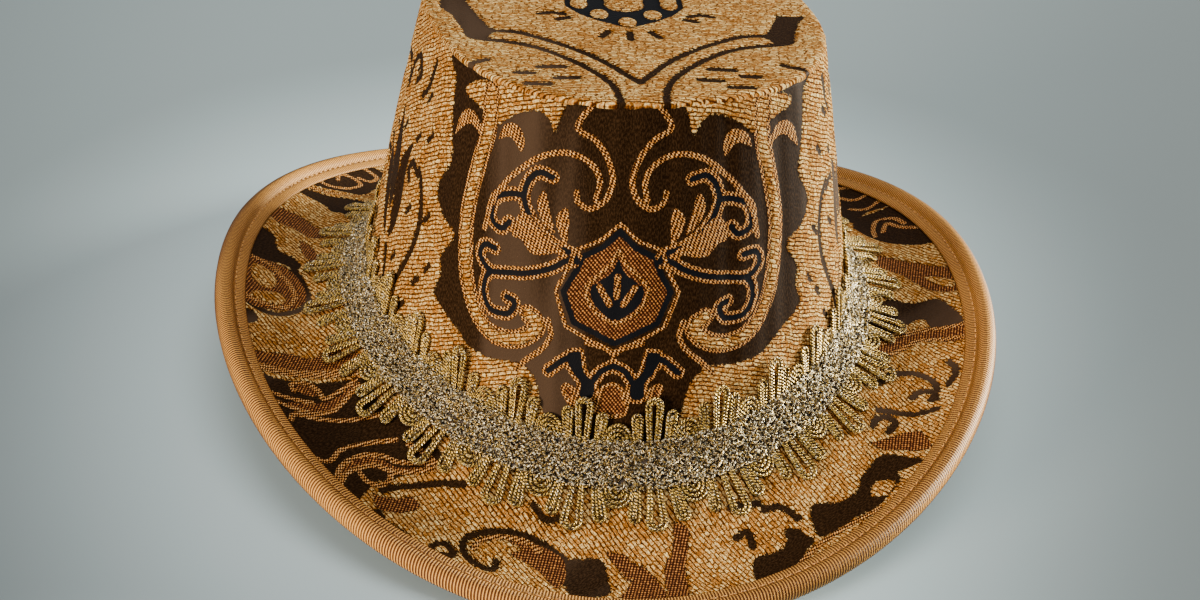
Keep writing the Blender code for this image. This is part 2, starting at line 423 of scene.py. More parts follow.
class Chart:
    """Distances in millimetres from the places of a cloth to the shapes woven in it.

    A field is positive inside its own kind of weave: pile, gold, black or twill.
    """

    weaves = ("pile", "gold", "black", "twill")

    def __init__(self, x, y):
        self.places = np.stack((x.ravel(), y.ravel()), axis=-1)
        self.shape = x.shape

    def line(self, corners, smoothed=True):
        """Distance from each place to a line, or FAR where that is well away."""
        points = curve(corners) if smoothed else np.array(corners, float)
        low = points.min(axis=0) - FAR
        high = points.max(axis=0) + FAR
        near = np.flatnonzero(np.all((self.places > low) & (self.places < high), axis=1))
        places = self.places[near]
        best = np.full(len(near), FAR)
        for start, end in zip(points, points[1:]):
            run = end - start
            square = max(run @ run, 1e-9)
            share = np.clip(((places - start) @ run) / square, 0.0, 1.0)
            gap = places - start - share[:, None] * run
            best = np.minimum(best, np.hypot(gap[:, 0], gap[:, 1]))
        distance = np.full(len(self.places), FAR)
        distance[near] = best
        return distance

    def lines(self, lines, smoothed=True):
        """Distance to the nearest of several lines."""
        return least(*(self.line(corners, smoothed) for corners in lines))

    def area(self, corners, smoothed=True):
        """Signed distance to a closed outline, positive inside."""
        points = list(corners) + [corners[0]]
        outline = curve(points) if smoothed else np.array(points, float)
        x, y = self.places.T
        inside = np.zeros(len(x), bool)
        for (x0, y0), (x1, y1) in zip(outline, outline[1:]):
            if y0 != y1:
                crosses = (y0 > y) != (y1 > y)
                inside ^= crosses & (x < x0 + (y - y0) * (x1 - x0) / (y1 - y0))
        distance = self.line(outline, smoothed=False)
        return np.where(inside, distance, -distance)

    def areas(self, shapes):
        """Signed distance to several closed outlines, positive inside any of them."""
        return most(*(self.area(corners) for corners in shapes))

    def fields(self, **made):
        """Fields of the whole cloth; a weave that isn't given is nowhere in it."""
        nowhere = np.full(len(self.places), -FAR)
        return {name: made.get(name, nowhere).reshape(self.shape) for name in self.weaves}


DOT_HALF = 0.66
STROKE_HALF = 0.95
BAND_HALF = 1.9
THREAD_HALF = 0.95
THREAD_SIDE = 1.6
LEAF_GAP = 1.0
SLIT_HALF = 1.0
SLIT_EDGE = 1.1
SWIRL_HALF = 1.3
FLECK_HALF = 1.0
FLECK_RUN = (3.0, -2.5)
ARC_HALF = 1.25
MARK_HALF = 1.3
STRIPE_HALF = 1.9

CARTOUCHE = (
    (-20, 80), (30, 80), (66, 70), (65, 59), (65, 49), (64, 42), (63.5, 34), (70, 26), (70, 21),
    (66, 16), (60, 11), (66, 3), (66, -3), (69, -10), (64, -15), (58, -19), (52, -24), (42, -26),
    (31, -26), (26, -31), (24, -38), (22, -48), (24, -70), (-20, -70),
)
BAND = (
    (45, 59), (46, 47.5), (49, 38), (52, 29), (54, 20), (54.5, 10), (54, 1), (52, -6.5),
    (48, -13.5), (41, -18), (33, -18), (27, -14.5), (26, -11.5), (29, -9),
)
BAND_TAIL = ((22, -10), (21, -15), (24, -20), (29, -24), (33, -28))
TOP_LEAF = (
    (42, 49), (40, 51), (34, 54.5), (28, 56), (24, 54), (22, 50), (20, 55), (20.5, 62), (48, 62),
    (58, 57.5), (47, 52),
)
OUTER_HOOK = ((62.5, 42.5), (60, 49), (55.5, 52), (51, 50), (49, 45), (55, 47.5))
INNER_HOOK = ((42, 45), (40, 49.5), (35, 51), (32, 47), (33, 42.5), (36.5, 46.5))
TOP_STROKE = (
    (9, 61), (14.5, 52.5), (9, 48.5), (5, 43), (3, 36), (5, 30), (9.5, 27), (13.5, 29), (14, 32),
)
SCROLL_STROKE = (
    (8, 30), (7, 35), (8.5, 39.5), (13, 43), (19, 44), (26, 42), (32, 38), (38.5, 32),
    (43.5, 25), (46.5, 16),
)
MEDALLION = (
    (-6, 13), (0, 20), (5, 15), (11.5, 11.5), (13, 7.5), (17.2, 0), (13.5, -10), (6, -13.5),
    (0, -16.5), (-6, -13.5),
)
MEDALLION_LINE = MEDALLION[1:-1]
MEDALLION_EDGE = (
    (0, 22.5), (6, 17), (14, 13.5), (15.5, 8), (19.8, 0), (16, -11.5), (7, -16), (0, -19.5),
)
MEDALLION_INNER = ((0, 14), (2.2, 10), (6, 6), (9.6, 2), (9.3, -2), (6, -6.5), (0, -10))
MEDALLION_LEAF = ((0, 11.5), (2, 7), (5, 4.5), (8.4, 1.5), (7.6, -3), (4, -6.8), (0, -8.5), (-3, 0))
LEAF_SLITS = (((0, 5.5), (0, -1)), ((5.6, 2), (2.2, -3.6)))
UPPER_THREADS = (
    ((13, 10), (15, 12.5), (21.5, 15), (26.5, 19), (30, 24), (31.5, 29), (30, 34), (26.5, 37),
     (22, 36)),
    ((31.5, 29), (36, 29), (41.5, 27), (43.5, 22.5), (43, 19), (39, 17.5), (36.5, 20)),
)
LOWER_THREADS = (
    ((13.5, 10), (16.5, 10), (21.5, 7), (29, 4.5), (36.5, 3.5), (43, 3), (46.5, 5), (48, 8),
     (46, 11), (41.5, 10.5)),
    ((43, 3), (45.5, 0), (46, -5), (43, -9.5), (36.5, -10), (34, -6), (37, -4.5)),
)
ZIGZAG_THREAD = (
    (0, -24), (4, -26), (7.5, -30), (12.5, -26), (11.5, -21.5), (16, -22.5), (21.5, -27),
)
ZIGZAG_ARM = (
    (11, -19.5), (15, -20.5), (14.5, -24.5), (10.5, -30), (10.5, -35), (6.5, -35), (6, -30),
    (9.5, -26.5),
)
LOWER_LEAVES = (
    ((11.5, -32), (15, -30.5), (17, -32), (15.5, -36), (12.5, -40), (12, -36)),
    ((-4, -31), (0, -29.5), (4, -32), (5.5, -40), (0, -42), (-5.5, -40)),
)
CROSS_STROKE = ((-3, -24), (0, -20.5), (3, -18), (9, -16.5))
LEAF_CLUSTER = (
    ((16.5, 15.5), (16, 22), (17, 27), (20.5, 23.5), (19, 18)),
    ((20.5, 18), (22.5, 25), (24.5, 31.5), (27, 27), (24.5, 21)),
    ((17, 13), (22, 16), (26, 19), (29, 22.5), (32, 23.5), (34, 21.5), (35.5, 16), (32.5, 15),
     (30.5, 13), (28.5, 11), (24, 11)),
)
OUTER_SWIRLS = (
    ((84, 27), (81, 22), (80, 12.5), (83.5, 2.5), (90, -6), (97, -14), (103, -25), (108, -42)),
    ((85, 25), (89, 28), (93, 26), (92, 22)),
    ((80, 62), (84, 54), (90, 50)),
    ((108, 52), (104, 60), (97, 62), (93, 57), (97, 54)),
    ((108, -20), (108, -4)),
)
OUTER_LEAVES = (
    ((107, -1), (101, 5), (97, 14), (96, 25), (92, 34), (100, 29), (104, 18)),
    ((109, 6), (104.5, 16), (103, 27), (105, 37), (109, 45)),
)
OUTER_FLECKS = (
    (80, 52), (86, 38), (75, 14), (88, 14), (80, -8), (94, 60), (73, -2), (88, -18),
    (76, 40), (94, -26), (100, 40), (84, -24), (98, -4),
)
TILE_HALF = 108.0
MOTIF_X = -6.0
MOTIF_Y = -60.0


def wall_chart(cloth):
    """Pattern of the crown's wall: a mirrored cartouche with a medallion in it."""
    x = (cloth[..., 0] - MOTIF_X + TILE_HALF) % (2 * TILE_HALF) - TILE_HALF
    chart = Chart(np.abs(x), cloth[..., 1] - MOTIF_Y)
    flecks = [((x, y), (x + FLECK_RUN[0], y + FLECK_RUN[1])) for x, y in OUTER_FLECKS]
    satin = most(
        chart.areas((CARTOUCHE,) + OUTER_LEAVES), SWIRL_HALF - chart.lines(OUTER_SWIRLS),
        FLECK_HALF - chart.lines(flecks, smoothed=False),
    )
    band = chart.line(BAND)
    threads = chart.lines(UPPER_THREADS + LOWER_THREADS + (ZIGZAG_THREAD,))
    threads = least(threads, THREAD_HALF - chart.area(ZIGZAG_ARM))
    leaves = least(chart.areas(LOWER_LEAVES), threads - THREAD_SIDE - LEAF_GAP)
    strokes = chart.lines((TOP_STROKE, SCROLL_STROKE, BAND_TAIL, CROSS_STROKE))
    gold = most(
        chart.areas((OUTER_HOOK, INNER_HOOK) + LEAF_CLUSTER), STROKE_HALF - strokes,
        DOT_HALF - np.abs(band - BAND_HALF - DOT_HALF),
        DOT_HALF - np.abs(threads - THREAD_SIDE), DOT_HALF - np.abs(leaves - DOT_HALF),
    )
    medallion = chart.area(MEDALLION, smoothed=False)
    gold = np.where(medallion > 0, -FAR, gold)
    black = np.where(medallion > 0, -FAR, THREAD_HALF - threads)
    ring = chart.line(MEDALLION_LINE, smoothed=False)
    edge = least(chart.line(MEDALLION_EDGE, smoothed=False), chart.line(MEDALLION_INNER))
    leaf = chart.area(MEDALLION_LEAF)
    slits = chart.lines(LEAF_SLITS, smoothed=False)
    return chart.fields(
        pile=most(-satin, BAND_HALF - band, chart.area(TOP_LEAF)),
        gold=most(gold, DOT_HALF - edge, least(leaf, SLIT_HALF - slits)),
        black=most(black, THREAD_HALF - ring, least(leaf, slits - SLIT_EDGE)),
        twill=most(medallion, leaves),
    )


TIP_MIDDLE_X = 1.0
TIP_FOLD_Y = 6.0
TIP_ARCS = (
    ((45, -20), (37, -21), (30, -25), (20, -32.5), (10, -43), (4, -52), (0, -58)),
    ((48, -27), (38, -29.5), (30, -33.5), (22, -40.5), (14, -50), (9.5, -58), (7.5, -66),
     (7, -74)),
)
TIP_COMMA = (
    (55, 12), (52, 0), (48.5, -10), (46, -17), (43, -20), (46, -24), (47, -28), (53, -26), (55, -18),
    (58, -8), (62, 0), (60, 12),
)
TIP_COMMA_END = -3.0
TIP_ORNAMENT = (
    (-4, 10), (20, 10), (20, 2), (15.5, -5), (9, -10.5), (4, -13.5), (0, -16), (-4, -13.5),
)
TIP_BEADS = (
    ((0, -11), (3.1, 4.2)), ((9, -4.5), (3.1, 4.2)), ((15.3, 4), (3.0, 4.2)), ((0, 4), (6.8, 6.2)),
)
TIP_MARKS = (
    ((21, -5), (25, -3.8), (29, -5)), ((19.5, -8), (23, -9.5)), ((7, -19), (9.5, -23)),
    ((0, -19.5), (0, -25)), ((23, -47), (31, -47.5)), ((33, -52), (38, -52)),
    ((19, -55), (26, -55.5)), ((28, -60), (35, -60)), ((47, -43), (53, -46)),
)
BEAD_EDGE = 3.5


def tip_chart(cloth):
    """Pattern of the crown's top: double arcs that meet in a point below a beaded ornament."""
    fold = TIP_FOLD_Y - np.abs(cloth[..., 1] - TIP_FOLD_Y)
    chart = Chart(np.abs(cloth[..., 0] - TIP_MIDDLE_X), fold)
    across, along = chart.places.T
    comma = chart.area(TIP_COMMA)
    right = cloth[..., 0].ravel() > TIP_MIDDLE_X
    comma = np.where(right, np.minimum(comma, TIP_COMMA_END - along), comma)
    dark = most(
        comma, ARC_HALF - chart.lines(TIP_ARCS),
        MARK_HALF - chart.lines(TIP_MARKS, smoothed=False),
    )
    ornament = chart.area(TIP_ORNAMENT, smoothed=False)
    for (x, y), (half_width, half_height) in TIP_BEADS:
        bead = np.hypot((across - x) / half_width, (along - y) / half_height)
        ornament = np.minimum(ornament, (bead - 1.0) * BEAD_EDGE)
    return chart.fields(pile=-most(dark, ornament), black=ornament)


BRIM_SATINS = (
    ((-115, 79), (-113, 96), (-104, 114), (-86, 128), (-70, 124), (-72, 108), (-84, 92),
     (-90, 80), (-100, 81)),
    ((-117, 71), (-113, 75), (-104, 74.5), (-97, 74), (-90, 70), (-88.5, 63), (-91, 56),
     (-95, 52), (-98, 56), (-102, 58), (-105, 64), (-110, 68)),
    ((-128, 34), (-122, 30), (-120.5, 24), (-119, 18.5), (-114, 15), (-110.5, 9), (-112, 5.5),
     (-118, 9.5), (-129, 12)),
    ((-129, -25), (-124, -26), (-123, -31), (-127, -34)),
    ((-122, -60), (-100, -60), (-84, -60), (-80, -70), (-72, -78), (-62, -88), (-59, -96),
     (-72, -100), (-80, -103), (-84, -110), (-87, -116), (-98, -104), (-108, -91), (-116, -76)),
    ((-21, -130), (-10, -130), (-8, -134), (-8, -144), (-20, -144)),
    ((38, -133), (40, -130), (47, -128), (50, -125), (50, -120.5), (54, -119.5), (56.5, -123),
     (59, -125), (56, -129), (53, -133), (50, -137), (39, -141)),
    ((59, -119), (60, -111), (70, -110), (76, -105), (77.5, -101), (82, -95), (85, -92),
     (90, -91.5), (99, -97), (90, -100), (90.5, -103), (86, -109), (80, -115), (74, -117),
     (68, -121), (61, -124)),
    ((95, -22), (102, -13), (112, -14), (120, -12), (124, -18), (126, -30), (116, -30),
     (113, -24), (106, -28), (99, -34), (92, -32)),
    ((101, 46), (106, 37), (114, 31), (130, 26), (128, 45), (123, 60), (110, 60), (103, 54)),
    ((90, 104), (104, 100), (115, 84), (121, 70), (123, 62), (110, 62), (102, 52), (96, 62),
     (94, 80), (84, 94)),
)
BRIM_TWILLS = (
    ((-124, -49), (-112, -46), (-104, -48), (-96, -45), (-84, -50), (-84, -54), (-124, -54)),
    ((-129, 11), (-119, 9), (-113, 3), (-109, -5), (-107, -14), (-110, -20), (-118, -22),
     (-129, -18)),
    ((-124, 52), (-115, 51), (-108, 43), (-102, 32), (-108, 31), (-115, 38), (-124, 43)),
    ((-112, 29), (-107, 22), (-104, 12), (-108, 13), (-111, 20)),
    ((-110, -71), (-98, -69), (-92, -65), (-88, -61), (-90, -67), (-95, -72), (-101, -74),
     (-108, -73)),
    ((-108, -64), (-107, -61.5), (-103, -62), (-100.5, -66), (-104, -66)),
    ((-92, -103), (-90, -96.5), (-85, -92.5), (-79, -93), (-73, -96.5), (-64, -97), (-72, -99),
     (-78, -97.5), (-84, -97), (-89, -101)),
    ((-81, -108), (-74, -109), (-68, -108), (-66, -112), (-72, -115), (-79, -114.5)),
    ((-40, -123), (-32, -124), (-26, -126.5), (-21, -130.5), (-21, -138), (-24, -142),
     (-28, -136), (-33, -131.5), (-38, -128.5), (-34, -126.5)),
    ((-8, -127.5), (-2, -128.5), (1, -133), (-1, -138), (-4, -134)),
    ((0, -131), (4, -133), (8, -138), (9.5, -146), (-4, -146), (0, -138)),
    ((14, -118), (19, -120), (18, -128), (17, -135), (17, -146), (11, -146), (10.5, -133),
     (13, -128), (14, -123)),
    ((83, -86), (90, -84), (100, -82), (102, -92), (92, -90), (86, -89)),
    ((104, 21), (112, 18), (120, 13), (126, 8), (130, 4), (130, -10), (122, -8), (117, -3),
     (111, 6), (104, 10)),
    ((90, -40), (101, -35), (112, -31), (126, -31), (125, -40), (110, -37), (101, -43), (93, -47)),
)
BRIM_ISLANDS = (
    ((79.5, -109), (81, -104), (84, -102.5), (88, -104), (86, -108.5), (83, -110)),
    ((-127, 6), (-121, 3), (-118, -4), (-121, -9), (-127, -4)),
    ((-125, -12), (-117, -11), (-114, -16), (-118, -19), (-126, -17)),
    ((119, 4), (124, 1.5), (129, -4), (127, -7), (122, -2.5)),
)
BRIM_LINES = (
    ((-113, 6), (-109, -4), (-106.5, -13), (-108, -20), (-113, -23.5), (-120, -24), (-128, -20)),
    ((-42, -131.5), (-43, -135), (-47, -134.5), (-51, -131), (-52.5, -126), (-50.5, -122.5),
     (-45, -120.5), (-38, -120.7), (-32, -122.5), (-27, -125), (-21, -130)),
    ((-63, -131), (-61, -127), (-58, -126), (-56, -128), (-55.5, -131), (-59, -131)),
    ((-78, -106), (-72, -104), (-66, -103.5), (-60, -103), (-52, -104)),
    ((-79, -116), (-76, -121), (-71, -124)),
    ((90, -60), (95, -55.5), (100, -54), (105, -54.5), (109, -58), (110, -63), (107, -68)),
    ((101, -66), (104, -63.5), (108, -64), (109, -68)),
    ((88, -72), (95, -73), (100, -74), (108, -73)),
    ((85, -79), (87, -76), (91, -75), (93, -78), (90, -81.5)),
    ((117, -50), (118, -56), (114, -62)),
    ((33, -113), (42, -111)),
    ((34, -123), (38, -121), (39, -126)),
    ((44, -113), (50, -112), (55, -116)),
    ((-30, -112), (-26, -117), (-20, -116)),
)
BRIM_STRIPE = ((-124, -56), (-84, -56))
BRIM_STROKES = (
    ((-108, -65), (-109, -61.5), (-104, -60.5), (-100, -64), (-98, -67.5), (-93, -64), (-88, -60)),
    ((-116, -68.5), (-108, -69), (-102, -69.5)),
    ((-115, -72), (-108, -73.5), (-101, -74.5), (-95, -73), (-91, -68), (-87, -62)),
    ((-108, -80), (-107, -76.5), (-100, -77), (-90, -77), (-79, -75.5)),
    ((-103, -95), (-97, -97), (-94, -95), (-92, -90.5), (-88, -88), (-82, -86.5), (-74, -86)),
    ((-70, -88), (-65, -91.5), (-61, -96)),
    ((-92, -104), (-91.5, -99), (-89, -94.5), (-84, -91.5), (-78, -92), (-73, -94.5), (-63, -95.5)),
    ((-91, -107), (-89.5, -101), (-86, -97.5), (-81, -95.5), (-77, -97), (-72, -98.5), (-62, -98)),
    ((-85, -99.5), (-83, -102.5), (-79, -104), (-75.5, -101.5), (-75.5, -98.5)),
    ((-49, -127), (-46.5, -123.5), (-40, -122.3), (-33, -123.8), (-28, -127.5)),
    ((-115, 76.5), (-104, 77.5), (-88, 78)),
    ((-110, 86), (-104, 84), (-96, 86), (-92, 92), (-96, 97), (-101, 96), (-101, 91)),
    ((-106, 96), (-102, 104), (-93, 108), (-86, 103), (-88, 97), (-93, 98)),
    ((-84, 110), (-78, 114), (-84, 120), (-94, 117)),
    ((-128, 10), (-121, 7), (-117, 1), (-113, -6), (-111, -14), (-115, -20), (-128, -17)),
    ((94, -47), (101, -42.5), (110, -36.5), (124, -38)),
    ((95, -40), (102, -35), (112, -30.5), (126, -31)),
    ((108, 38), (109, 46), (112, 53), (118, 52), (121, 46)),
    ((112, 42), (115, 49), (119, 44), (127, 38)),
    ((102, 80), (107, 75), (113, 77), (110, 84), (103, 88)),
    ((92, 92), (97, 98), (104, 94), (100, 88)),
    ((104, 67), (110, 65), (118, 70)),
    ((52, -136), (58, -129), (64, -124.5), (72, -120), (81, -115.5)),
)
BRIM_FOLD_Y = 110.0
BRIM_ROW_TURN = math.radians(-54.0)


def brim_chart(cloth):
    """Pattern of the brim, in plan; behind the fold line it is the front's, turned round."""
    side = np.where(cloth[..., 1] > BRIM_FOLD_Y, -1.0, 1.0)
    chart = Chart(side * cloth[..., 0], side * cloth[..., 1])
    twill = chart.areas(BRIM_TWILLS)
    satin = least(most(twill, chart.areas(BRIM_SATINS)), -chart.areas(BRIM_ISLANDS))
    satin = most(satin, ARC_HALF - chart.lines(BRIM_LINES))
    gold = most(
        STRIPE_HALF - chart.line(BRIM_STRIPE, smoothed=False),
        STROKE_HALF - chart.lines(BRIM_STROKES),
    )
    return chart.fields(pile=-most(satin, gold), gold=gold, twill=twill)


def turned(cloth, angle):
    """Cloth places measured along and across rows that lie at an angle."""
    c = math.cos(angle)
    s = math.sin(angle)
    x = cloth[..., 0]
    y = cloth[..., 1]
    return np.stack((c * x + s * y, c * y - s * x), axis=-1)


def raised(fields, height):
    """Relief of the woven face in metres; gold thread stands lower than the pile."""
    pile = height * smooth(fields["pile"], -0.2, 0.9)
    gold = 0.35 * height * smooth(fields["gold"], -0.3, 0.4)
    return np.maximum(pile, gold)


# Node helpers


class Graph:
    """Adds and links the nodes of one tree."""

    def __init__(self, tree):
        self.tree = tree

    def put(self, node, key, value):
        """Gives a node's input a value, or a link where the value is a socket."""
        if isinstance(value, bpy.types.NodeSocket):
            self.tree.links.new(value, node.inputs[key])
        else:
            node.inputs[key].default_value = value

    def add(self, kind, values=(), **settings):
        """Node with its settings and its inputs."""
        node = self.tree.nodes.new(kind)
        for name, value in settings.items():
            setattr(node, name, value)
        for key, value in dict(values).items():
            self.put(node, key, value)
        return node

    def out(self, kind, values=(), **settings):
        """First output of a new node."""
        return self.add(kind, values, **settings).outputs[0]

    def math(self, operation, first, second=0.0, third=0.0):
        return self.out("ShaderNodeMath", {0: first, 1: second, 2: third}, operation=operation)

    def plus(self, first, second):
        return self.math("ADD", first, second)

    def less(self, first, second):
        return self.math("SUBTRACT", first, second)

    def times(self, first, second):
        return self.math("MULTIPLY", first, second)

    def over(self, first, second):
        return self.math("DIVIDE", first, second)

    def scaled(self, value, by, plus):
        """A value times one number, plus another."""
        return self.math("MULTIPLY_ADD", value, by, plus)

    def sine(self, value, rate):
        return self.math("SINE", self.times(value, rate))

    def ramp(self, value, low, high):
        values = {0: value, 1: low, 2: high}
        return self.out("ShaderNodeMapRange", values, interpolation_type="SMOOTHSTEP")

    def between(self, share, first, second):
        values = {0: share, 2: first, 3: second}
        return self.out("ShaderNodeMix", values, data_type="FLOAT")

    def vector(self, x, y, z=0.0):
        return self.out("ShaderNodeCombineXYZ", {0: x, 1: y, 2: z})

    def parts(self, vector):
        return self.add("ShaderNodeSeparateXYZ", {0: vector}).outputs


class Finish(Graph):
    """Adds the nodes of one new material."""

    def __init__(self, name):
        self.material = bpy.data.materials.new(name)
        self.material.use_nodes = True
        super().__init__(self.material.node_tree)

    def colours(self, share, first, second):
        """Mix of two colours: sockets, three numbers or names of the hat's colours."""
        pair = []
        for colour in (first, second):
            if isinstance(colour, str):
                colour = getattr(bpy.context.scene.hat_colours, colour)
            pair.append(colour if isinstance(colour, bpy.types.NodeSocket) else (*colour, 1.0))
        values = {0: share, 6: pair[0], 7: pair[1]}
        return self.add("ShaderNodeMix", values, data_type="RGBA").outputs[2]

    def noise(self, vector, scale, detail=2.0):
        values = {"Vector": vector, "Scale": scale, "Detail": detail}
        return self.add("ShaderNodeTexNoise", values).outputs["Fac"]

    def uneven(self, vector, scale):
        """Noise about zero."""
        return self.less(self.noise(vector, scale), 0.5)

    def chance(self, key, value, dimensions):
        """A number drawn for each value."""
        kind = "ShaderNodeTexWhiteNoise"
        return self.out(kind, {key: value}, noise_dimensions=dimensions)

    def attribute(self, name):
        return self.add("ShaderNodeAttribute", attribute_name=name).outputs["Fac"]

    def place(self):
        return self.add("ShaderNodeTexCoord").outputs["Object"]

    def cloth(self):
        return self.out("ShaderNodeUVMap", uv_map="fabric")

    def stretched(self, along, across, along_rate, across_rate, depth=0.0):
        """Place in the cloth with each of its directions scaled."""
        return self.vector(self.times(along, along_rate), self.times(across, across_rate), depth)

    def close(self, base, roughness, height, depth, fixed=()):
        """Gives the shader its colour, roughness, bump and fixed values."""
        bump = self.out("ShaderNodeBump", {"Strength": 1.0, "Distance": depth, "Height": height})
        values = {"Base Color": base, "Roughness": roughness, "Normal": bump, **dict(fixed)}
        for key, value in values.items():
            self.put(self.tree.nodes["Principled BSDF"], key, value)
        return self.material


# Materials; cloth sizes are in millimetres and depths of bump in metres

ROW_WANDER = 2.2
ROW_WOBBLE = 0.9
TUFT_JOG = 1.6
TUFT_SHIFT = 7.0
# Middle and half width, in millimetres across the cloth, of the satin's painted sheen
SHEEN_MIDDLE = -34.0
SHEEN_HALF = 70.0
GOLD_ROW = 0.8
GOLD_STAGGER = 0.52
TWIST_PITCH = 0.0011
CLOTH_BUMP = 0.00055
RIBBON_BUMP = 0.0004
CORD_BUMP = 0.00018
FLOOR_BUMP = 0.0001

# Shares of the floor's colour that paint light and shade on it: a painted pool of light near the hat,
# less beyond it, then the same two at the sides, in painted shade. The lit part is a wedge that opens
# toward the back from a point in front of the hat.
FLOOR_PAINTED_LIGHT = (2.1, 0.76, 0.36, 0.34)
WEDGE_X = -0.04
WEDGE_Y = -0.7
WEDGE_SIDES = (0.08, 0.44)
WEDGE_FRONT = (-0.30, -0.55)


def pile_weave(g, cloth, along, across):
    """Chenille: wandering rows of tufts, each tuft and each fibre with its own tone; the lightest
    fibres carry a painted sheen.
    """
    sizes = bpy.context.scene.fabric_sizes
    wander = g.times(g.noise(cloth, 0.10), ROW_WANDER)
    wander = g.scaled(g.noise(cloth, 0.6), ROW_WOBBLE, wander)
    rows = g.over(g.plus(across, wander), sizes.row_pitch)
    row = g.math("FLOOR", rows)
    row_round = g.sine(g.math("FRACT", rows), math.pi)
    jog = g.times(g.noise(cloth, 0.35), TUFT_JOG)
    shift = g.times(g.chance("W", row, "1D"), TUFT_SHIFT)
    tufts = g.plus(g.plus(g.over(along, sizes.tuft_length), jog), shift)
    in_tuft = g.math("FRACT", tufts)
    tuft_ends = g.math("MINIMUM", in_tuft, g.less(1.0, in_tuft))
    tone = g.chance("Vector", g.vector(g.math("FLOOR", tufts), row), "2D")
    tuft = g.ramp(tuft_ends, g.scaled(tone, 0.24, -0.18), 0.12)
    body = g.times(g.ramp(row_round, 0.0, 0.7), tuft)
    streaks = g.stretched(along, across, 0.6, 1.3)
    streak = g.ramp(g.noise(streaks, 1.0, 3.0), 0.36, 0.64)
    fibre = g.ramp(g.noise(streaks, 2.3, 3.0), 0.38, 0.64)
    drift = g.ramp(g.noise(cloth, 0.07), 0.3, 0.7)
    value = g.scaled(tone, 0.45, g.times(streak, 0.50))
    value = g.scaled(fibre, 0.55, value)
    value = g.scaled(drift, 0.25, value)
    value = g.scaled(g.less(body, 1.0), 1.15, value)
    shade = g.colours(g.ramp(value, -0.25, 0.75), "pile_deep", "pile_mid")
    # The lightest fibres are partly their own light colour and partly a painted sheen
    found = g.colours(g.ramp(value, 0.55, 1.55), shade, "pile_light")
    return found, g.scaled(g.plus(streak, fibre), 0.35, body)


def satin_weave(g, along, across):
    """Satin: fine upright threads, with a painted sheen in lighter streaks that follow the folds."""
    threads = g.noise(g.stretched(along, across, 2.4, 0.9), 1.0, 3.0)
    base = g.colours(g.ramp(threads, 0.40, 0.68), "satin", "satin_light")
    folds = g.noise(g.stretched(along, across, 0.045, 0.006, 2.6), 1.0, 3.0)
    # Painted sheen: the satin is lightened most near the middle set above, in streaks along the folds
    side = g.math("COSINE", g.times(g.plus(along, -SHEEN_MIDDLE), math.pi / SHEEN_HALF))
    painted_light = g.scaled(side, 0.35, g.scaled(threads, 0.10, folds))
    return g.colours(g.ramp(painted_light, 0.72, 1.02), base, "satin_worn"), threads


def twill_weave(g, cloth, along, across):
    """Twill: fine slanting lines broken into dots, with brighter flecks."""
    turns = 2 * math.pi / bpy.context.scene.fabric_sizes.twill_pitch
    one = g.sine(g.scaled(across, 0.8, along), turns)
    two = g.sine(g.scaled(across, -0.9, along), turns)
    weave = g.scaled(two, 0.7, one)
    fleck = g.uneven(cloth, 1.1)
    share = g.ramp(g.scaled(fleck, 3.2, weave), -0.3, 1.2)
    glint = g.ramp(g.scaled(fleck, 5.0, weave), 0.8, 1.8)
    return g.colours(glint, g.colours(share, "twill_dark", "twill_light"), "gold")


def gold_weave(g, cloth, along, across):
    """Gold thread: slanting dashes in staggered rows, with dark gaps."""
    pitch = bpy.context.scene.fabric_sizes.dash_pitch
    row = g.math("FLOOR", g.over(across, GOLD_ROW))
    slip = g.scaled(across, 0.5, g.scaled(row, GOLD_STAGGER * pitch, along))
    slip = g.scaled(g.noise(cloth, 0.7), 1.1, slip)
    wave = g.sine(slip, 2 * math.pi / pitch)
    uneven = g.uneven(cloth, 1.7)
    dash = g.ramp(g.scaled(uneven, 2.6, wave), -0.2, 0.75)
    crest = g.ramp(g.scaled(uneven, 3.2, wave), 0.7, 1.6)
    return g.colours(crest, g.colours(dash, "twill_dark", "gold"), "gold_light"), dash


def brocade_material():
    """Pile, satin, gold, black and twill weaves, chosen by the piece's fields."""
    found = bpy.data.materials.get("woven_brocade")
    if found:
        return found
    g = Finish("woven_brocade")
    cloth = g.cloth()
    along, across, _ = g.parts(cloth)
    pile_colour, pile_height = pile_weave(g, cloth, along, across)
    satin_colour, threads = satin_weave(g, along, across)
    gold_colour, dash = gold_weave(g, cloth, along, across)

    # A fine noise added to each distance frays the edges of the weaves
    fray = g.uneven(cloth, 0.9)
    wide = g.scaled(g.uneven(cloth, 2.4), 1.6, g.times(fray, 2.6))
    thin = g.times(fray, 0.7)
    pile = g.ramp(g.plus(g.attribute("pile"), wide), -0.15, 0.15)
    gold = g.ramp(g.plus(g.attribute("gold"), thin), -0.1, 0.12)
    black = g.ramp(g.plus(g.attribute("black"), thin), -0.1, 0.12)
    twill = g.ramp(g.plus(g.attribute("twill"), thin), -0.1, 0.1)

    base = g.colours(twill, satin_colour, twill_weave(g, cloth, along, across))
    base = g.colours(pile, base, pile_colour)
    base = g.colours(black, base, "black")
    base = g.colours(gold, base, gold_colour)
    flat_height = g.scaled(threads, 0.25, g.times(g.times(gold, dash), 0.5))
    height = g.between(pile, flat_height, g.plus(pile_height, 0.5))
    return g.close(base, g.between(pile, 0.62, 0.9), height, CLOTH_BUMP, {
        "Specular IOR Level": 0.05, "Specular Tint": (1.0, 0.66, 0.36, 1.0),
    })


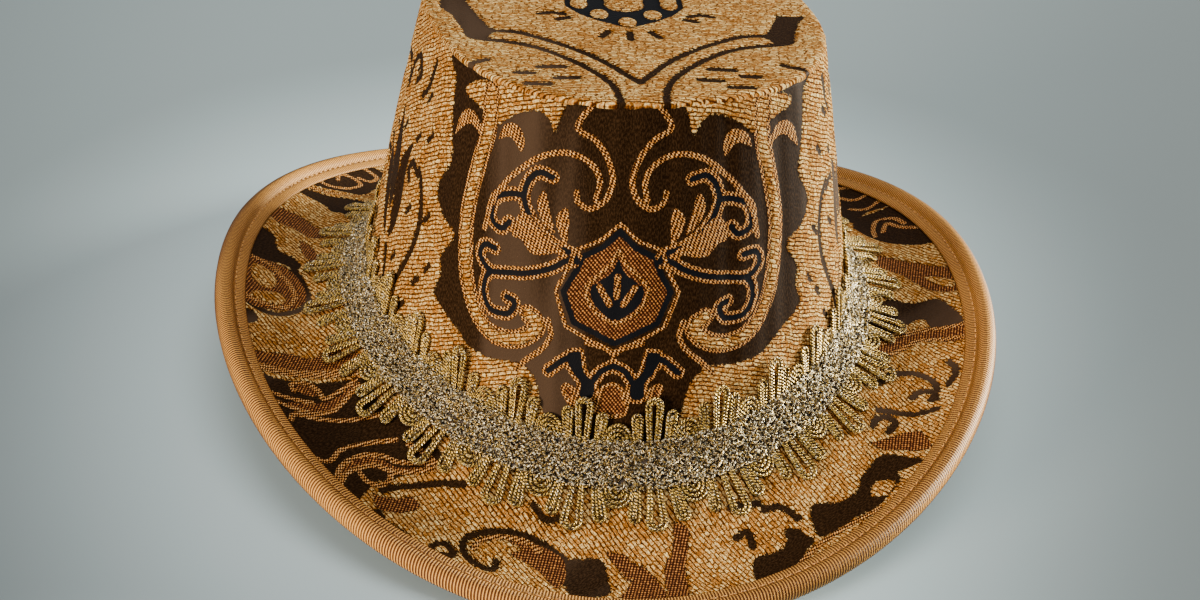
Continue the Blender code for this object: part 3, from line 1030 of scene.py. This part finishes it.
def ribbon_material():
    """Ribbed ribbon: light ribs with dark valleys between them."""
    g = Finish("ribbed_ribbon")
    ribs, across, _ = g.parts(g.cloth())
    rib = g.scaled(g.math("COSINE", g.times(ribs, 2 * math.pi)), 0.5, 0.5)
    grain = g.noise(g.stretched(ribs, across, 0.9, 3.0), 1.0)
    drift = g.uneven(g.stretched(ribs, across, 0.02, 0.1), 1.0)
    share = g.scaled(g.less(grain, 0.5), 0.6, g.ramp(rib, 0.32, 1.0))
    base = g.colours(g.scaled(drift, 0.5, share), "ribbon_shade", "ribbon")
    return g.close(base, 0.5, g.scaled(grain, 0.3, rib), RIBBON_BUMP, {
        "Specular IOR Level": 0.3, "Specular Tint": (1.0, 0.7, 0.4, 1.0),
    })


def cord_material(name, glint_share, shade):
    """Twisted metallic cord with painted shade in its grooves and painted glints; a larger share gives
    more glints, more shade darker twists.
    """
    g = Finish(name)
    twist = g.plus(g.over(g.attribute("along"), TWIST_PITCH), g.times(g.attribute("round"), 2.0))
    strand = g.sine(twist, 2 * math.pi)
    place = g.place()
    fleck = g.noise(place, 1150.0)
    sparkle = g.noise(place, 1700.0, 1.0)
    # Painted shade: the twist's grooves and random flecks are darkened toward the braid's shade colour
    painted_light = g.ramp(g.scaled(g.less(fleck, 0.5), 7.0, strand), shade, shade + 2.2)
    # Painted glints: pale flecks where the sparkle noise is high; lower roughness there adds real
    # glints too
    painted_glint = g.ramp(g.scaled(strand, 0.03, sparkle), 0.66 - glint_share, 0.74)
    base = g.colours(painted_glint, g.colours(painted_light, "braid_shade", "braid_gold"), "braid_silver")
    roughness = g.between(sparkle, 0.22, 0.55)
    return g.close(base, roughness, g.scaled(fleck, 2.0, strand), CORD_BUMP, {"Metallic": 0.72})


def yarn_material(name, scale, low, high, dark, light, roughness, depth):
    """Plain thread: two tones broken up by a fine twist."""
    g = Finish(name)
    twist = g.noise(g.place(), scale, 1.0)
    return g.close(g.colours(g.ramp(twist, low, high), dark, light), roughness, twist, depth)


def floor_material():
    """Pale floor with a faint mottle and painted light: a painted pool of light near the hat, painted
    shade at its sides.
    """
    g = Finish("floor")
    place = g.place()
    mottle = g.noise(place, 6.0, 3.0)
    reach = g.add("ShaderNodeVectorMath", {0: place}, operation="LENGTH").outputs["Value"]
    x, y, _ = g.parts(place)
    offset = g.math("ABSOLUTE", g.plus(x, -WEDGE_X))
    aside = g.over(offset, g.math("MAXIMUM", g.plus(y, -WEDGE_Y), 0.2))
    # Painted light: the floor is painted lightest close to the hat and falls off beyond it
    past_light_pool = g.scaled(mottle, 0.08, g.ramp(reach, 0.08, 0.30))
    # Painted shade: outside a wedge that opens toward the back, and in front of the hat, the floor is
    # painted darker
    outer = g.math("MAXIMUM", g.ramp(aside, *WEDGE_SIDES), g.ramp(y, *WEDGE_FRONT))
    base = bpy.context.scene.hat_colours.floor
    painted_tones = [[share * part for part in base] for share in FLOOR_PAINTED_LIGHT]
    middle = g.colours(past_light_pool, *painted_tones[:2])
    sides = g.colours(past_light_pool, *painted_tones[2:])
    return g.close(g.colours(outer, middle, sides), 0.85, mottle, FLOOR_BUMP)


# Strands wrapped on the hat with Geometry Nodes


class Shaper(Graph):
    """Adds the nodes of one new geometry tree with named inputs."""

    def __init__(self, name, **sockets):
        super().__init__(bpy.data.node_groups.new(name, "GeometryNodeTree"))
        self.socket("Geometry", "Geometry")
        self.socket("Geometry", "Geometry", "OUTPUT")
        self.keys = {label: self.socket(label, kind) for label, kind in sockets.items()}
        self.given = self.add("NodeGroupInput").outputs

    def socket(self, label, kind, in_out="INPUT"):
        """New socket of the tree; gives its identifier."""
        kind = "NodeSocket" + kind
        return self.tree.interface.new_socket(label, in_out=in_out, socket_type=kind).identifier

    def named(self, name):
        kind = "GeometryNodeInputNamedAttribute"
        return self.out(kind, {"Name": name}, data_type="FLOAT_VECTOR")

    def stored(self, geometry, name, value):
        """Geometry that carries a number at its points."""
        values = {0: geometry, "Name": name, "Value": value}
        kind = "GeometryNodeStoreNamedAttribute"
        return self.out(kind, values, data_type="FLOAT", domain="POINT")

    def close(self, geometry):
        """Ends the tree: smooth shading, real instances and the material."""
        smooth_mesh = self.out("GeometryNodeSetShadeSmooth", {0: geometry})
        real = self.out("GeometryNodeRealizeInstances", {0: smooth_mesh})
        values = {0: real, "Material": self.given["Material"]}
        self.add("NodeGroupOutput", {0: self.out("GeometryNodeSetMaterial", values)})


def wrap_tree():
    """Tree that repeats flat strands round the hat, lays them on its seat and rounds them."""
    g = Shaper(
        "wrap_on_seat", Seat="Object", Repeats="Int", Pitch="Float", Reach="Float",
        Radius="Float", Sides="Int", Material="Material",
    )
    given = g.given
    spots = {"Count": given["Repeats"], "Offset": g.vector(given["Pitch"], 0.0)}
    copies = {"Points": g.out("GeometryNodeMeshLine", spots), "Instance": given["Geometry"]}
    copies = g.out("GeometryNodeInstanceOnPoints", copies)
    strands = g.out("GeometryNodeRealizeInstances", {0: copies})
    spline = g.add("GeometryNodeSplineParameter").outputs
    strands = g.stored(strands, "along", spline["Length"])
    x, y, z = g.parts(g.out("GeometryNodeInputPosition"))
    u = g.math("FRACT", g.over(x, g.times(given["Pitch"], given["Repeats"])))
    v = g.over(g.plus(y, given["Reach"]), g.times(given["Reach"], 2.0))
    seat = g.add("GeometryNodeObjectInfo", {"Object": given["Seat"]}).outputs["Geometry"]

    def sampled(name):
        values = {
            "Mesh": seat, "Value": g.named(name), "UV Map": g.named("seat"),
            "Sample UV": g.vector(u, v),
        }
        return g.out("GeometryNodeSampleUVSurface", values, data_type="FLOAT_VECTOR")

    lift = g.out("ShaderNodeVectorMath", {0: sampled("off"), "Scale": z}, operation="SCALE")
    laid = g.out("ShaderNodeVectorMath", {0: sampled("place"), 1: lift}, operation="ADD")
    strands = g.out("GeometryNodeSetPosition", {0: strands, "Position": laid})
    section = {"Resolution": given["Sides"], "Radius": given["Radius"]}
    section = g.out("GeometryNodeCurvePrimitiveCircle", section)
    section = g.stored(section, "round", spline["Factor"])
    cords = {"Curve": strands, "Profile Curve": section, "Fill Caps": True}
    g.close(g.out("GeometryNodeCurveToMesh", cords))
    return g


def stitch_tree():
    """Tree that sets one short thread at each step along a line."""
    g = Shaper("stitch_line", Count="Int", Length="Float", Radius="Float", Material="Material")
    given = g.given
    line = {"Curve": given["Geometry"], "Count": given["Count"]}
    line = g.out("GeometryNodeResampleCurve", line)
    tangent = g.out("GeometryNodeInputTangent")
    facing = g.out("FunctionNodeAlignRotationToVector", {"Vector": tangent}, axis="X")
    thread = {"Segments": 6, "Rings": 5, "Radius": given["Radius"]}
    thread = g.out("GeometryNodeMeshUVSphere", thread)
    stretch = g.over(given["Length"], g.times(given["Radius"], 2.0))
    thread = {"Geometry": thread, "Scale": g.vector(stretch, 1.0, 1.0)}
    thread = g.out("GeometryNodeTransform", thread)
    copies = {"Points": line, "Instance": thread, "Rotation": facing}
    g.close(g.out("GeometryNodeInstanceOnPoints", copies))
    return g


def strand_object(name, strands, closed=False):
    """Curve object of straight-run splines, one for each strand."""
    data = bpy.data.curves.new(name, "CURVE")
    data.dimensions = "3D"
    for points in strands:
        spline = data.splines.new("POLY")
        spline.points.add(len(points) - 1)
        flat = np.column_stack((points, np.ones(len(points))))
        spline.points.foreach_set("co", flat.astype(np.float32).ravel())
        spline.use_cyclic_u = closed
    return placed(name, data)


def baked_piece(name, strands, shaper, values, closed=False):
    """Plain mesh object from strands with a node tree on them; the strands are removed."""
    source = strand_object(name + "_strands", strands, closed)
    modifier = source.modifiers.new("shape", "NODES")
    modifier.node_group = shaper.tree
    for label, value in values.items():
        modifier[shaper.keys[label]] = value
    bpy.context.view_layer.update()
    graph = bpy.context.evaluated_depsgraph_get()
    mesh = bpy.data.meshes.new_from_object(source.evaluated_get(graph), depsgraph=graph)
    mesh.name = name
    bpy.data.objects.remove(source, do_unlink=True)
    return placed(name, mesh)


def seat_object():
    """Hidden grid under the braid, with its places and directions as attributes."""
    found = bpy.data.objects.get("braid_seat")
    if found:
        return found
    columns = BRAID_REPEATS * 16 + 1
    rows = 41
    share, height = np.meshgrid(
        np.linspace(0.0, 1.0, columns), np.linspace(-SEAT_HALF, SEAT_HALF, rows), indexing="ij"
    )
    place, off = braid_line(turn_at(share), height)
    corners = grid_faces(columns, rows)[:(columns - 1) * (rows - 1)]
    mesh = bpy.data.meshes.new("braid_seat")
    mesh.from_pydata(place.reshape(-1, 3).tolist(), [], corners.tolist())
    put_field(mesh, "place", place, "FLOAT_VECTOR", "vector")
    put_field(mesh, "off", off, "FLOAT_VECTOR", "vector")
    flat = np.stack((share, (height + SEAT_HALF) / (2 * SEAT_HALF)), axis=-1).reshape(-1, 2)
    put_map(mesh, "seat", flat[corners.ravel()])
    seat = placed("braid_seat", mesh)
    seat.hide_render = True
    return seat


PITCH = FOOT_LENGTH / BRAID_REPEATS
VARIANTS = 13


def wrapped_piece(name, strands, radius, sides, material):
    """Piece made by repeating flat strands round the braid's seat."""
    return baked_piece(name, strands, wrap_tree(), {
        "Seat": seat_object(), "Repeats": BRAID_REPEATS // VARIANTS, "Pitch": PITCH * VARIANTS,
        "Reach": SEAT_HALF, "Radius": radius, "Sides": sides, "Material": material,
    })


def even(points, step):
    """Points at an even step along a line."""
    lengths = lengths_along(points)
    count = max(3, round(lengths[-1] / step))
    places = np.linspace(0.0, lengths[-1], count + 1)
    return np.stack([np.interp(places, lengths, points[:, k]) for k in range(3)], axis=-1)


# One repeat of the looped edge: place in the repeat, share of the full reach, half width,
# sideways lean and height, in millimetres where not a share
UPPER_FAN = (
    (0.145, 0.69, 1.55, -0.7, 1.15),
    (0.585, 0.67, 1.50, 0.8, 1.15),
    (0.36, 1.00, 2.55, 0.2, 1.75),
)
LOWER_FAN = (
    (0.12, 0.74, 1.50, -1.3, 1.15),
    (0.60, 0.78, 1.75, 1.2, 1.15),
    (0.35, 1.00, 2.60, -0.3, 1.75),
)
LOOP_NECK = 0.62
LOOP_RISE = 0.0007
LOOP_STEP = 0.0011
LOOP_OVERLAP = 0.0015
SCALLOP_PLACE = 0.865
SCALLOP_RADII = (4.4, 3.2, 2.0, 0.8)
SCALLOP_STRETCH = 1.3
SCALLOP_FOOT = 0.0008
SCALLOP_HEIGHT = 1.2


def hairpin(middle, foot, reach, half, lean, height):
    """Loop of cord: two legs that widen outward, joined by a round end. Metres."""
    neck = LOOP_NECK * half
    top = foot + reach - half
    bend = np.linspace(math.pi, 0.0, 9)
    x = np.concatenate(((middle - neck,), middle + half * np.cos(bend), (middle + neck,)))
    y = np.concatenate(((foot,), top + half * np.sin(bend), (foot,)))
    x = x + lean * (y - foot) / reach
    rise = np.sin(math.pi * np.clip((y - foot) / reach, 0.0, 1.0))
    return np.stack((x, y, height + LOOP_RISE * rise), axis=-1)


def edge_strands(side):
    """Flat strands of the looped edge; side is -1 up the wall, 1 on the brim."""
    strands = [points for repeat in range(VARIANTS) for points in repeat_strands(side, repeat)]
    return [even(points, LOOP_STEP) * np.array((1.0, side, 1.0)) for points in strands]


def repeat_strands(side, repeat):
    """One repeat of the looped edge, a little different from the others."""
    radius = bpy.context.scene.hat_sizes.cord_radius
    foot = BAND_WIDTH / 2 - LOOP_OVERLAP
    full = LOOP_REACH + LOOP_OVERLAP
    start = repeat * PITCH
    for k, (place, share, half, lean, height) in enumerate(UPPER_FAN if side < 0 else LOWER_FAN):
        wobble = math.sin(2.3 * repeat + 1.9 * k + side)
        sway = math.sin(3.7 * repeat + 2.6 * k)
        for inset in (0.0, 2 * radius):
            yield hairpin(
                start + place * PITCH, foot, full * (share + 0.05 * min(wobble, 0.0)) - inset,
                half * MM - inset, (lean + 0.5 * sway) * MM, height * MM,
            )
    bend = np.linspace(math.pi, 0.0, 15)
    middle = start + (SCALLOP_PLACE + 0.01 * math.sin(4.1 * repeat)) * PITCH
    for size in SCALLOP_RADII:
        reach = size * MM
        x = np.pad(middle + reach * np.cos(bend), 1, mode="edge")
        y = foot + SCALLOP_FOOT + reach * SCALLOP_STRETCH * np.sin(bend)
        y = np.pad(y, 1, constant_values=foot)
        yield np.stack((x, y, 0.0 * x + SCALLOP_HEIGHT * MM), axis=-1)


KNIT_ROWS = 13
KNIT_WAVES = 9
KNIT_STEPS = 6
KNIT_HEIGHT = 0.0020
KNIT_INSET = 0.0008
KNIT_SPREAD = 0.0006
GROUND_INSET = 0.0009
GROUND_THICKNESS = 0.0013


def knit_strands():
    """Flat strands of the knitted band over several repeats, each curling its own way."""
    knots = VARIANTS * KNIT_WAVES * 2
    at_knots = np.arange(knots + 1)
    steps = np.linspace(0.0, knots, VARIANTS * KNIT_WAVES * KNIT_STEPS + 1)
    swing = np.interp(steps, at_knots, np.resize((1.0, -1.0), knots + 1))
    reach = BAND_WIDTH / 2 - KNIT_INSET
    edge = reach + KNIT_SPREAD
    for row in range(KNIT_ROWS):
        chance = np.random.default_rng(row)

        def uneven(low, high):
            values = chance.uniform(low, high, knots)
            return np.interp(steps, at_knots, np.append(values, values[0]))

        middle = reach * (2 * row / (KNIT_ROWS - 1) - 1)
        x = steps / knots * VARIANTS * PITCH + uneven(-0.0008, 0.0008)
        y = middle + swing * uneven(0.0002, 0.0013) + uneven(-0.0004, 0.0004)
        z = KNIT_HEIGHT + uneven(-0.0007, 0.0009)
        yield np.stack((x, np.clip(y, -edge, edge), z), axis=-1)


# Operators, one for each piece


class HAT_OT_crown_cloth(bpy.types.Operator):
    """Wraps the crown's wall in brocade"""

    bl_idname = "hat.crown_cloth"
    bl_label = "Crown cloth"

    columns = 720
    rows = 126
    back_rows = 4
    front_crowding = 0.26
    rim_gap = 0.6
    row_drop = 0.3
    level_half = 30.0
    # Share of each set of upright waves, how many go round the hat and where they start
    waves = ((0.5, 23, 0.4), (0.3, 41, 2.0), (0.2, 67, 1.1))

    def execute(self, context):
        sizes = context.scene.hat_sizes
        even_share = np.linspace(-0.5, 0.5, self.columns + 1)
        crowding = self.front_crowding / (2 * math.pi)
        share = even_share - crowding * np.sin(2 * math.pi * even_share)
        turn = np.interp(share, FOOT_SHARES, TURNS)
        low = (GAP + CLOTH * wall_normal(turn)[..., 2]) / wall_length(turn)
        high = 1.0 - (self.rim_gap * CLOTH) / wall_length(turn)
        face_steps = np.linspace(0.0, 1.0, self.rows)
        back_steps = np.linspace(1.0, 0.0, self.back_rows)
        steps = np.concatenate((face_steps, back_steps))
        turns = in_rows(turn, len(steps))
        up = low[:, None] + (high - low)[:, None] * steps
        cloth = self.cloth(turns, up)
        fields = wall_chart(cloth[:, :self.rows])
        face_turns = turns[:, :self.rows]
        folds = sum(
            weight * np.sin(count * face_turns + start) for weight, count, start in self.waves
        )
        lift = np.full(turns.shape, -CLOTH)
        lift[:, :self.rows] = raised(fields, sizes.pile_height) + sizes.satin_wave * (folds - 0.5)
        points = wall_point(turns, up) + wall_normal(turns) * lift[..., None]
        # The rows of chenille hang lower toward the sides than the cloth's own cut does
        aside = np.hypot(cloth[..., 0], self.level_half) - self.level_half
        cloth[..., 1] += self.row_drop * aside
        piece = ring_piece("crown_cloth", points, brocade_material(), cloth=cloth, fields=fields)
        dress(piece, "brocade", "crown_wall")
        return {"FINISHED"}

    def cloth(self, turn, share):
        """Places on the cloth of the wall, cut as one fan that meets at the back."""
        ring = TIP_LENGTHS[-1] - TIP_LENGTHS[0]
        slant = float(np.mean(wall_length(TURNS)))
        radius = slant * ring / (FOOT_LENGTH - ring)
        angle = np.interp(turn, TURNS, TIP_LENGTHS) / radius
        reach = radius + (1.0 - share) * wall_length(turn)
        return np.stack((reach * np.sin(angle), radius - reach * np.cos(angle)), axis=-1) / MM


class HAT_OT_tip_cloth(bpy.types.Operator):
    """Covers the crown's flat top in brocade"""

    bl_idname = "hat.tip_cloth"
    bl_label = "Tip cloth"

    columns = 480
    rings = 84
    rim_steps = 5
    overhang = 0.0005
    fineness = (0.8, 1.25)
    rim_relief = 0.4
    relief_end = 0.985
    under_rings = (0.66, 0.33)

    def execute(self, context):
        height = context.scene.hat_sizes.pile_height
        angle = np.linspace(-1.5 * math.pi, 0.5 * math.pi, self.columns + 1)
        rim = CLOTH / 2
        flat = np.linspace(1.0 / self.rings, 1.0, self.rings)
        outline = tip_oval(angle)[:, None, :]
        inner = 1.0 - (rim - self.overhang) / TIP_HALF_WIDTH
        top = outline * (flat * inner)[None, :, None]
        fields = tip_chart(top[..., :2] / MM)
        edge = smooth(np.broadcast_to(flat, top.shape[:2]), 1.0, self.relief_end)
        top[..., 2] = TOP_HEIGHT + raised(fields, height) * np.maximum(edge, self.rim_relief)
        bend = np.linspace(0.0, math.pi, self.rim_steps + 2)[1:]
        out = outline * inner + unit(outline) * (rim * np.sin(bend))[None, :, None]
        out[..., 2] = TOP_HEIGHT - rim + (rim + self.rim_relief * height) * np.cos(bend)[None, :]
        under = outline * inner * np.array(self.under_rings)[None, :, None]
        under[..., 2] = TOP_HEIGHT - CLOTH
        points = np.concatenate((top, out, under), axis=1)
        rim_rows = ((0, 0), (0, points.shape[1] - self.rings))
        fields = {name: np.pad(values, rim_rows, mode="edge") for name, values in fields.items()}
        poles = (
            (0, (0.0, 0.0, TOP_HEIGHT + height)),
            (points.shape[1] - 1, (0.0, 0.0, TOP_HEIGHT - CLOTH)),
        )
        piece = ring_piece(
            "tip_cloth", points, brocade_material(), closed_rows=False, poles=poles,
            cloth=points[..., :2] * self.fineness / MM, fields=fields,
        )
        dress(piece, "brocade", "crown_tip")
        return {"FINISHED"}


class HAT_OT_brim_cloth(bpy.types.Operator):
    """Covers the brim in brocade"""

    bl_idname = "hat.brim_cloth"
    bl_label = "Brim cloth"

    columns = 1080
    rows = 74
    back_rows = 9
    relief_ends = (0.995, 0.96)
    normal_reach = 0.97
    last_normal = 0.99

    def execute(self, context):
        height = context.scene.hat_sizes.pile_height
        turn = np.interp(np.linspace(-0.5, 0.5, self.columns + 1), FOOT_SHARES, TURNS)
        over = self.layer(turn, self.rows, 1)
        under = self.layer(turn, self.back_rows, -1)[:, ::-1]
        cloth = np.concatenate((over, under), axis=1)[..., :2] / MM
        fields = brim_chart(cloth[:, :self.rows])
        turns = in_rows(turn, self.rows)
        across = np.broadcast_to(np.linspace(0.0, 1.0, self.rows), turns.shape)
        relief = raised(fields, height) * smooth(across, *self.relief_ends)
        over = over + brim_normal(turns, across * self.normal_reach) * relief[..., None]
        piece = ring_piece(
            "brim_cloth", np.concatenate((over, under), axis=1), brocade_material(),
            cloth=turned(cloth, BRIM_ROW_TURN), fields=fields,
        )
        dress(piece, "brocade", "brim")
        return {"FINISHED"}

    def layer(self, turn, rows, side):
        """Grid of one face of the brim, from the head opening to inside the ribbon's fold."""
        turns = in_rows(turn, rows - 1)
        share = np.broadcast_to(np.linspace(0.0, 1.0, rows - 1), turns.shape)
        lift = brim_normal(turns, np.minimum(share, self.last_normal)) * side * CLOTH / 2
        fold = edge_point(turn, BRIM_EDGE_INSET + 0.0 * turn, side * CLOTH / 2)
        return np.concatenate((brim_point(turns, share) + lift, fold[:, None, :]), axis=1)


# Section of the bound edge: inset from the rim and height off the middle, in millimetres
RIBBON_SECTION = (
    (2.9, 1.56), (2.9, -1.56), (6.0, -1.56), (10.3, -1.56), (10.4, -2.1), (10.2, -2.75),
    (8.6, -3.0), (6.1, -3.25), (4.6, -3.5), (3.4, -3.55), (2.2, -3.35), (1.1, -2.75),
    (0.35, -1.6), (0.05, -0.5), (0.0, 0.6), (0.35, 1.7), (1.0, 2.7), (1.9, 3.35), (3.0, 3.6),
    (4.0, 3.5), (4.9, 3.1), (5.6, 2.5), (6.1, 2.15), (6.5, 2.05), (7.0, 2.3), (7.8, 2.48),
    (8.9, 2.45), (9.9, 2.3), (10.35, 1.95), (10.3, 1.56), (6.5, 1.56),
)
RIBBED_FROM = 4
RIBBED_TO = 29


class HAT_OT_ribbon(bpy.types.Operator):
    """Binds the brim's edge in ribbed ribbon round a roll"""

    bl_idname = "hat.ribbon"
    bl_label = "Ribbon binding"

    steps_per_rib = 3

    def execute(self, context):
        sizes = context.scene.hat_sizes
        lengths = lengths_along(edge_point(TURNS, 0.0 * TURNS, 0.0))
        columns = round(lengths[-1] / sizes.rib_pitch) * self.steps_per_rib
        step = np.arange(columns + 1)
        turn = np.interp(step / columns * lengths[-1], lengths, TURNS)
        section = np.array(RIBBON_SECTION) * MM
        ahead = np.roll(section, -1, axis=0) - np.roll(section, 1, axis=0)
        outside = unit(np.stack((-ahead[:, 1], ahead[:, 0]), axis=-1))
        ribbed = np.zeros(len(section))
        ribbed[RIBBED_FROM:RIBBED_TO] = 1.0
        crest = np.cos(2 * math.pi * step / self.steps_per_rib)[:, None]
        lift = (0.5 * sizes.rib_height * crest * ribbed)[..., None]
        place = section[None, :, :] - outside[None, :, :] * lift
        points = edge_point(in_rows(turn, len(section)), place[..., 0], place[..., 1])
        points[..., 2] = np.maximum(points[..., 2], 0.0)
        rib = in_rows(step / self.steps_per_rib, len(section))
        around = np.broadcast_to(lengths_along(section) / MM, rib.shape)
        cloth = np.stack((rib, around), axis=-1)
        piece = ring_piece("ribbon_binding", points, ribbon_material(), cloth=cloth)
        dress(piece, "ribbon", "brim_binding")
        return {"FINISHED"}


class HAT_OT_stitches(bpy.types.Operator):
    """Sews a line of small stitches along the ribbon's groove"""

    bl_idname = "hat.stitches"
    bl_label = "Groove stitches"

    thread_radius = 0.00032
    inset = 0.0065
    height = 0.00225
    share_sewn = 0.7

    def execute(self, context):
        pitch = context.scene.hat_sizes.stitch_pitch
        turn = TURNS[:-1:4]
        line = edge_point(turn, self.inset + 0.0 * turn, self.height)
        thread = yarn_material(
            "sewing_thread", 2500.0, 0.3, 0.7, "ribbon_shade", "ribbon", 0.5, 0.0001
        )
        piece = baked_piece("groove_stitches", [line], stitch_tree(), {
            "Count": round(lengths_along(line)[-1] / pitch), "Length": self.share_sewn * pitch,
            "Radius": self.thread_radius, "Material": thread,
        }, closed=True)
        dress(piece, "ribbon")
        return {"FINISHED"}


class HAT_OT_braid_band(bpy.types.Operator):
    """Knits the braid's band round the crown's base"""

    bl_idname = "hat.braid_band"
    bl_label = "Braid band"

    def execute(self, context):
        sizes = context.scene.hat_sizes
        material = cord_material("knit_cord", 0.19, -0.1)
        sides = sizes.cord_sides - 1
        piece = wrapped_piece("braid_band", knit_strands(), sizes.knit_radius, sides, material)
        dress(piece, "gimp", "gimp_braid")
        self.make_ground()
        return {"FINISHED"}

    def make_ground(self):
        """Thin ground that the band is knitted on, dark in the satin's and the braid's shade colours:
        painted shade that shows in the gaps between the cords.
        """
        share = np.linspace(-0.5, 0.5, BRAID_REPEATS * 12 + 1)
        reach = BAND_WIDTH / 2 - GROUND_INSET
        across = np.linspace(-reach, reach, 11)
        turns = in_rows(turn_at(share), len(across))
        place, off = braid_line(turns, np.broadcast_to(across, turns.shape))
        over = place + off * (GAP + GROUND_THICKNESS)
        under = (place + off * GAP)[:, ::-1]
        # Painted shade: the ground's colours stand in for the shade between the knitted cords
        yarn = yarn_material("braid_ground", 1800.0, 0.4, 0.75, "satin", "braid_shade", 0.7, 0.0002)
        points = np.concatenate((over, under), axis=1)[:, ::-1]
        dress(ring_piece("braid_ground", points, yarn), "gimp")


class HAT_OT_braid_loops(bpy.types.Operator):
    """Adds the looped cords along both edges of the braid"""

    bl_idname = "hat.braid_loops"
    bl_label = "Braid loops"

    def execute(self, context):
        sizes = context.scene.hat_sizes
        cord = cord_material("loop_cord", 0.06, -0.7)
        for name, side in (("upper_loops", -1.0), ("lower_loops", 1.0)):
            strands = edge_strands(side)
            piece = wrapped_piece(name, strands, sizes.cord_radius, sizes.cord_sides, cord)
            dress(piece, "gimp", "gimp_braid")
        return {"FINISHED"}


class HAT_OT_stage(bpy.types.Operator):
    """Makes the floor, the studio light and the camera"""

    bl_idname = "hat.stage"
    bl_label = "Stage"

    floor_half = 6.0
    sky = (0.95, 0.98, 1.0, 1.0)
    sky_strength = 0.44
    # Name, place, width in metres, power in watts and tint
    lamps = (
        ("key", (2.60, 0.85, 0.50), 1.0, 330.0, (1.0, 1.0, 0.90)),
        ("fill", (-2.10, -1.70, 0.46), 1.0, 148.0, (1.0, 0.86, 0.70)),
        ("top", (0.10, -0.25, 1.60), 1.2, 18.0, (1.0, 0.98, 0.95)),
    )
    target = Vector((0.0, 0.0, 0.0751))
    distance = 0.66499
    place_turn = math.radians(-5.998)
    place_rise = math.radians(27.453)
    view_turn = math.radians(-5.998 + 0.126)
    view_rise = math.radians(27.453 + 3.964)
    roll = math.radians(3.536)
    lens = 56.48
    sensor = 36.0

    def execute(self, context):
        self.make_floor()
        self.make_lights(context)
        self.make_camera(context)
        return {"FINISHED"}

    def back(self, turn, rise):
        """Direction from the hat toward a viewer at a turn and a rise."""
        level = math.cos(rise)
        return Vector((math.sin(turn) * level, -math.cos(turn) * level, math.sin(rise)))

    def make_floor(self):
        half = self.floor_half
        corners = [(-half, -half, 0.0), (half, -half, 0.0), (half, half, 0.0), (-half, half, 0.0)]
        mesh = bpy.data.meshes.new("floor")
        mesh.from_pydata(corners, [], [(0, 1, 2, 3)])
        mesh.materials.append(floor_material())
        placed("floor", mesh)

    def make_lights(self, context):
        world = bpy.data.worlds.new("studio")
        world.use_nodes = True
        sky = world.node_tree.nodes["Background"].inputs
        sky["Color"].default_value = self.sky
        sky["Strength"].default_value = self.sky_strength
        context.scene.world = world
        for name, place, width, power, tint in self.lamps:
            light = bpy.data.lights.new(name, "AREA")
            light.shape = "DISK"
            light.size = width
            light.energy = power
            light.color = tint
            lamp = placed(name, light)
            lamp.location = place
            lamp.rotation_mode = "QUATERNION"
            toward = self.target - Vector(place)
            lamp.rotation_quaternion = toward.to_track_quat("-Z", "Y")

    def make_camera(self, context):
        data = bpy.data.cameras.new("camera")
        data.sensor_width = self.sensor
        data.lens = self.lens
        data.clip_start = 0.01
        camera = placed("camera", data)
        away = self.back(self.view_turn, self.view_rise)
        right = Vector((math.cos(self.view_turn), math.sin(self.view_turn), 0.0))
        axes = Matrix((right, away.cross(right), away)).transposed()
        camera.matrix_world = (axes @ Matrix.Rotation(self.roll, 3, "Z")).to_4x4()
        camera.location = self.target + self.back(self.place_turn, self.place_rise) * self.distance
        context.scene.camera = camera


OPERATORS = (
    HAT_OT_stage, HAT_OT_crown_cloth, HAT_OT_tip_cloth, HAT_OT_brim_cloth, HAT_OT_ribbon,
    HAT_OT_stitches, HAT_OT_braid_band, HAT_OT_braid_loops,
)


class HAT_PT_panel(bpy.types.Panel):
    """Lists the hat's sizes, colours and pieces"""

    bl_idname = "HAT_PT_panel"
    bl_label = "Brocade Hat"
    bl_space_type = "VIEW_3D"
    bl_region_type = "UI"
    bl_category = "Hat"

    def draw(self, context):
        for group in (context.scene.hat_sizes, context.scene.fabric_sizes,
                      context.scene.hat_colours):
            box = self.layout.box()
            for name in group.__annotations__:
                box.prop(group, name)
        for operator in OPERATORS:
            self.layout.operator(operator.bl_idname)


GROUPS = (HatSizes, FabricSizes, HatColours)


def register():
    for made in GROUPS + OPERATORS + (HAT_PT_panel,):
        bpy.utils.register_class(made)
    bpy.types.Scene.hat_sizes = PointerProperty(type=HatSizes)
    bpy.types.Scene.fabric_sizes = PointerProperty(type=FabricSizes)
    bpy.types.Scene.hat_colours = PointerProperty(type=HatColours)


def unregister():
    del bpy.types.Scene.hat_sizes
    del bpy.types.Scene.fabric_sizes
    del bpy.types.Scene.hat_colours
    for made in (HAT_PT_panel,) + OPERATORS + GROUPS:
        bpy.utils.unregister_class(made)


def main():
    register()
    bpy.ops.hat.stage()
    bpy.ops.hat.crown_cloth()
    bpy.ops.hat.tip_cloth()
    bpy.ops.hat.brim_cloth()
    bpy.ops.hat.ribbon()
    bpy.ops.hat.stitches()
    bpy.ops.hat.braid_band()
    bpy.ops.hat.braid_loops()
    bpy.data.objects.remove(bpy.data.objects["braid_seat"], do_unlink=True)


if __name__ == "__main__":
    main()
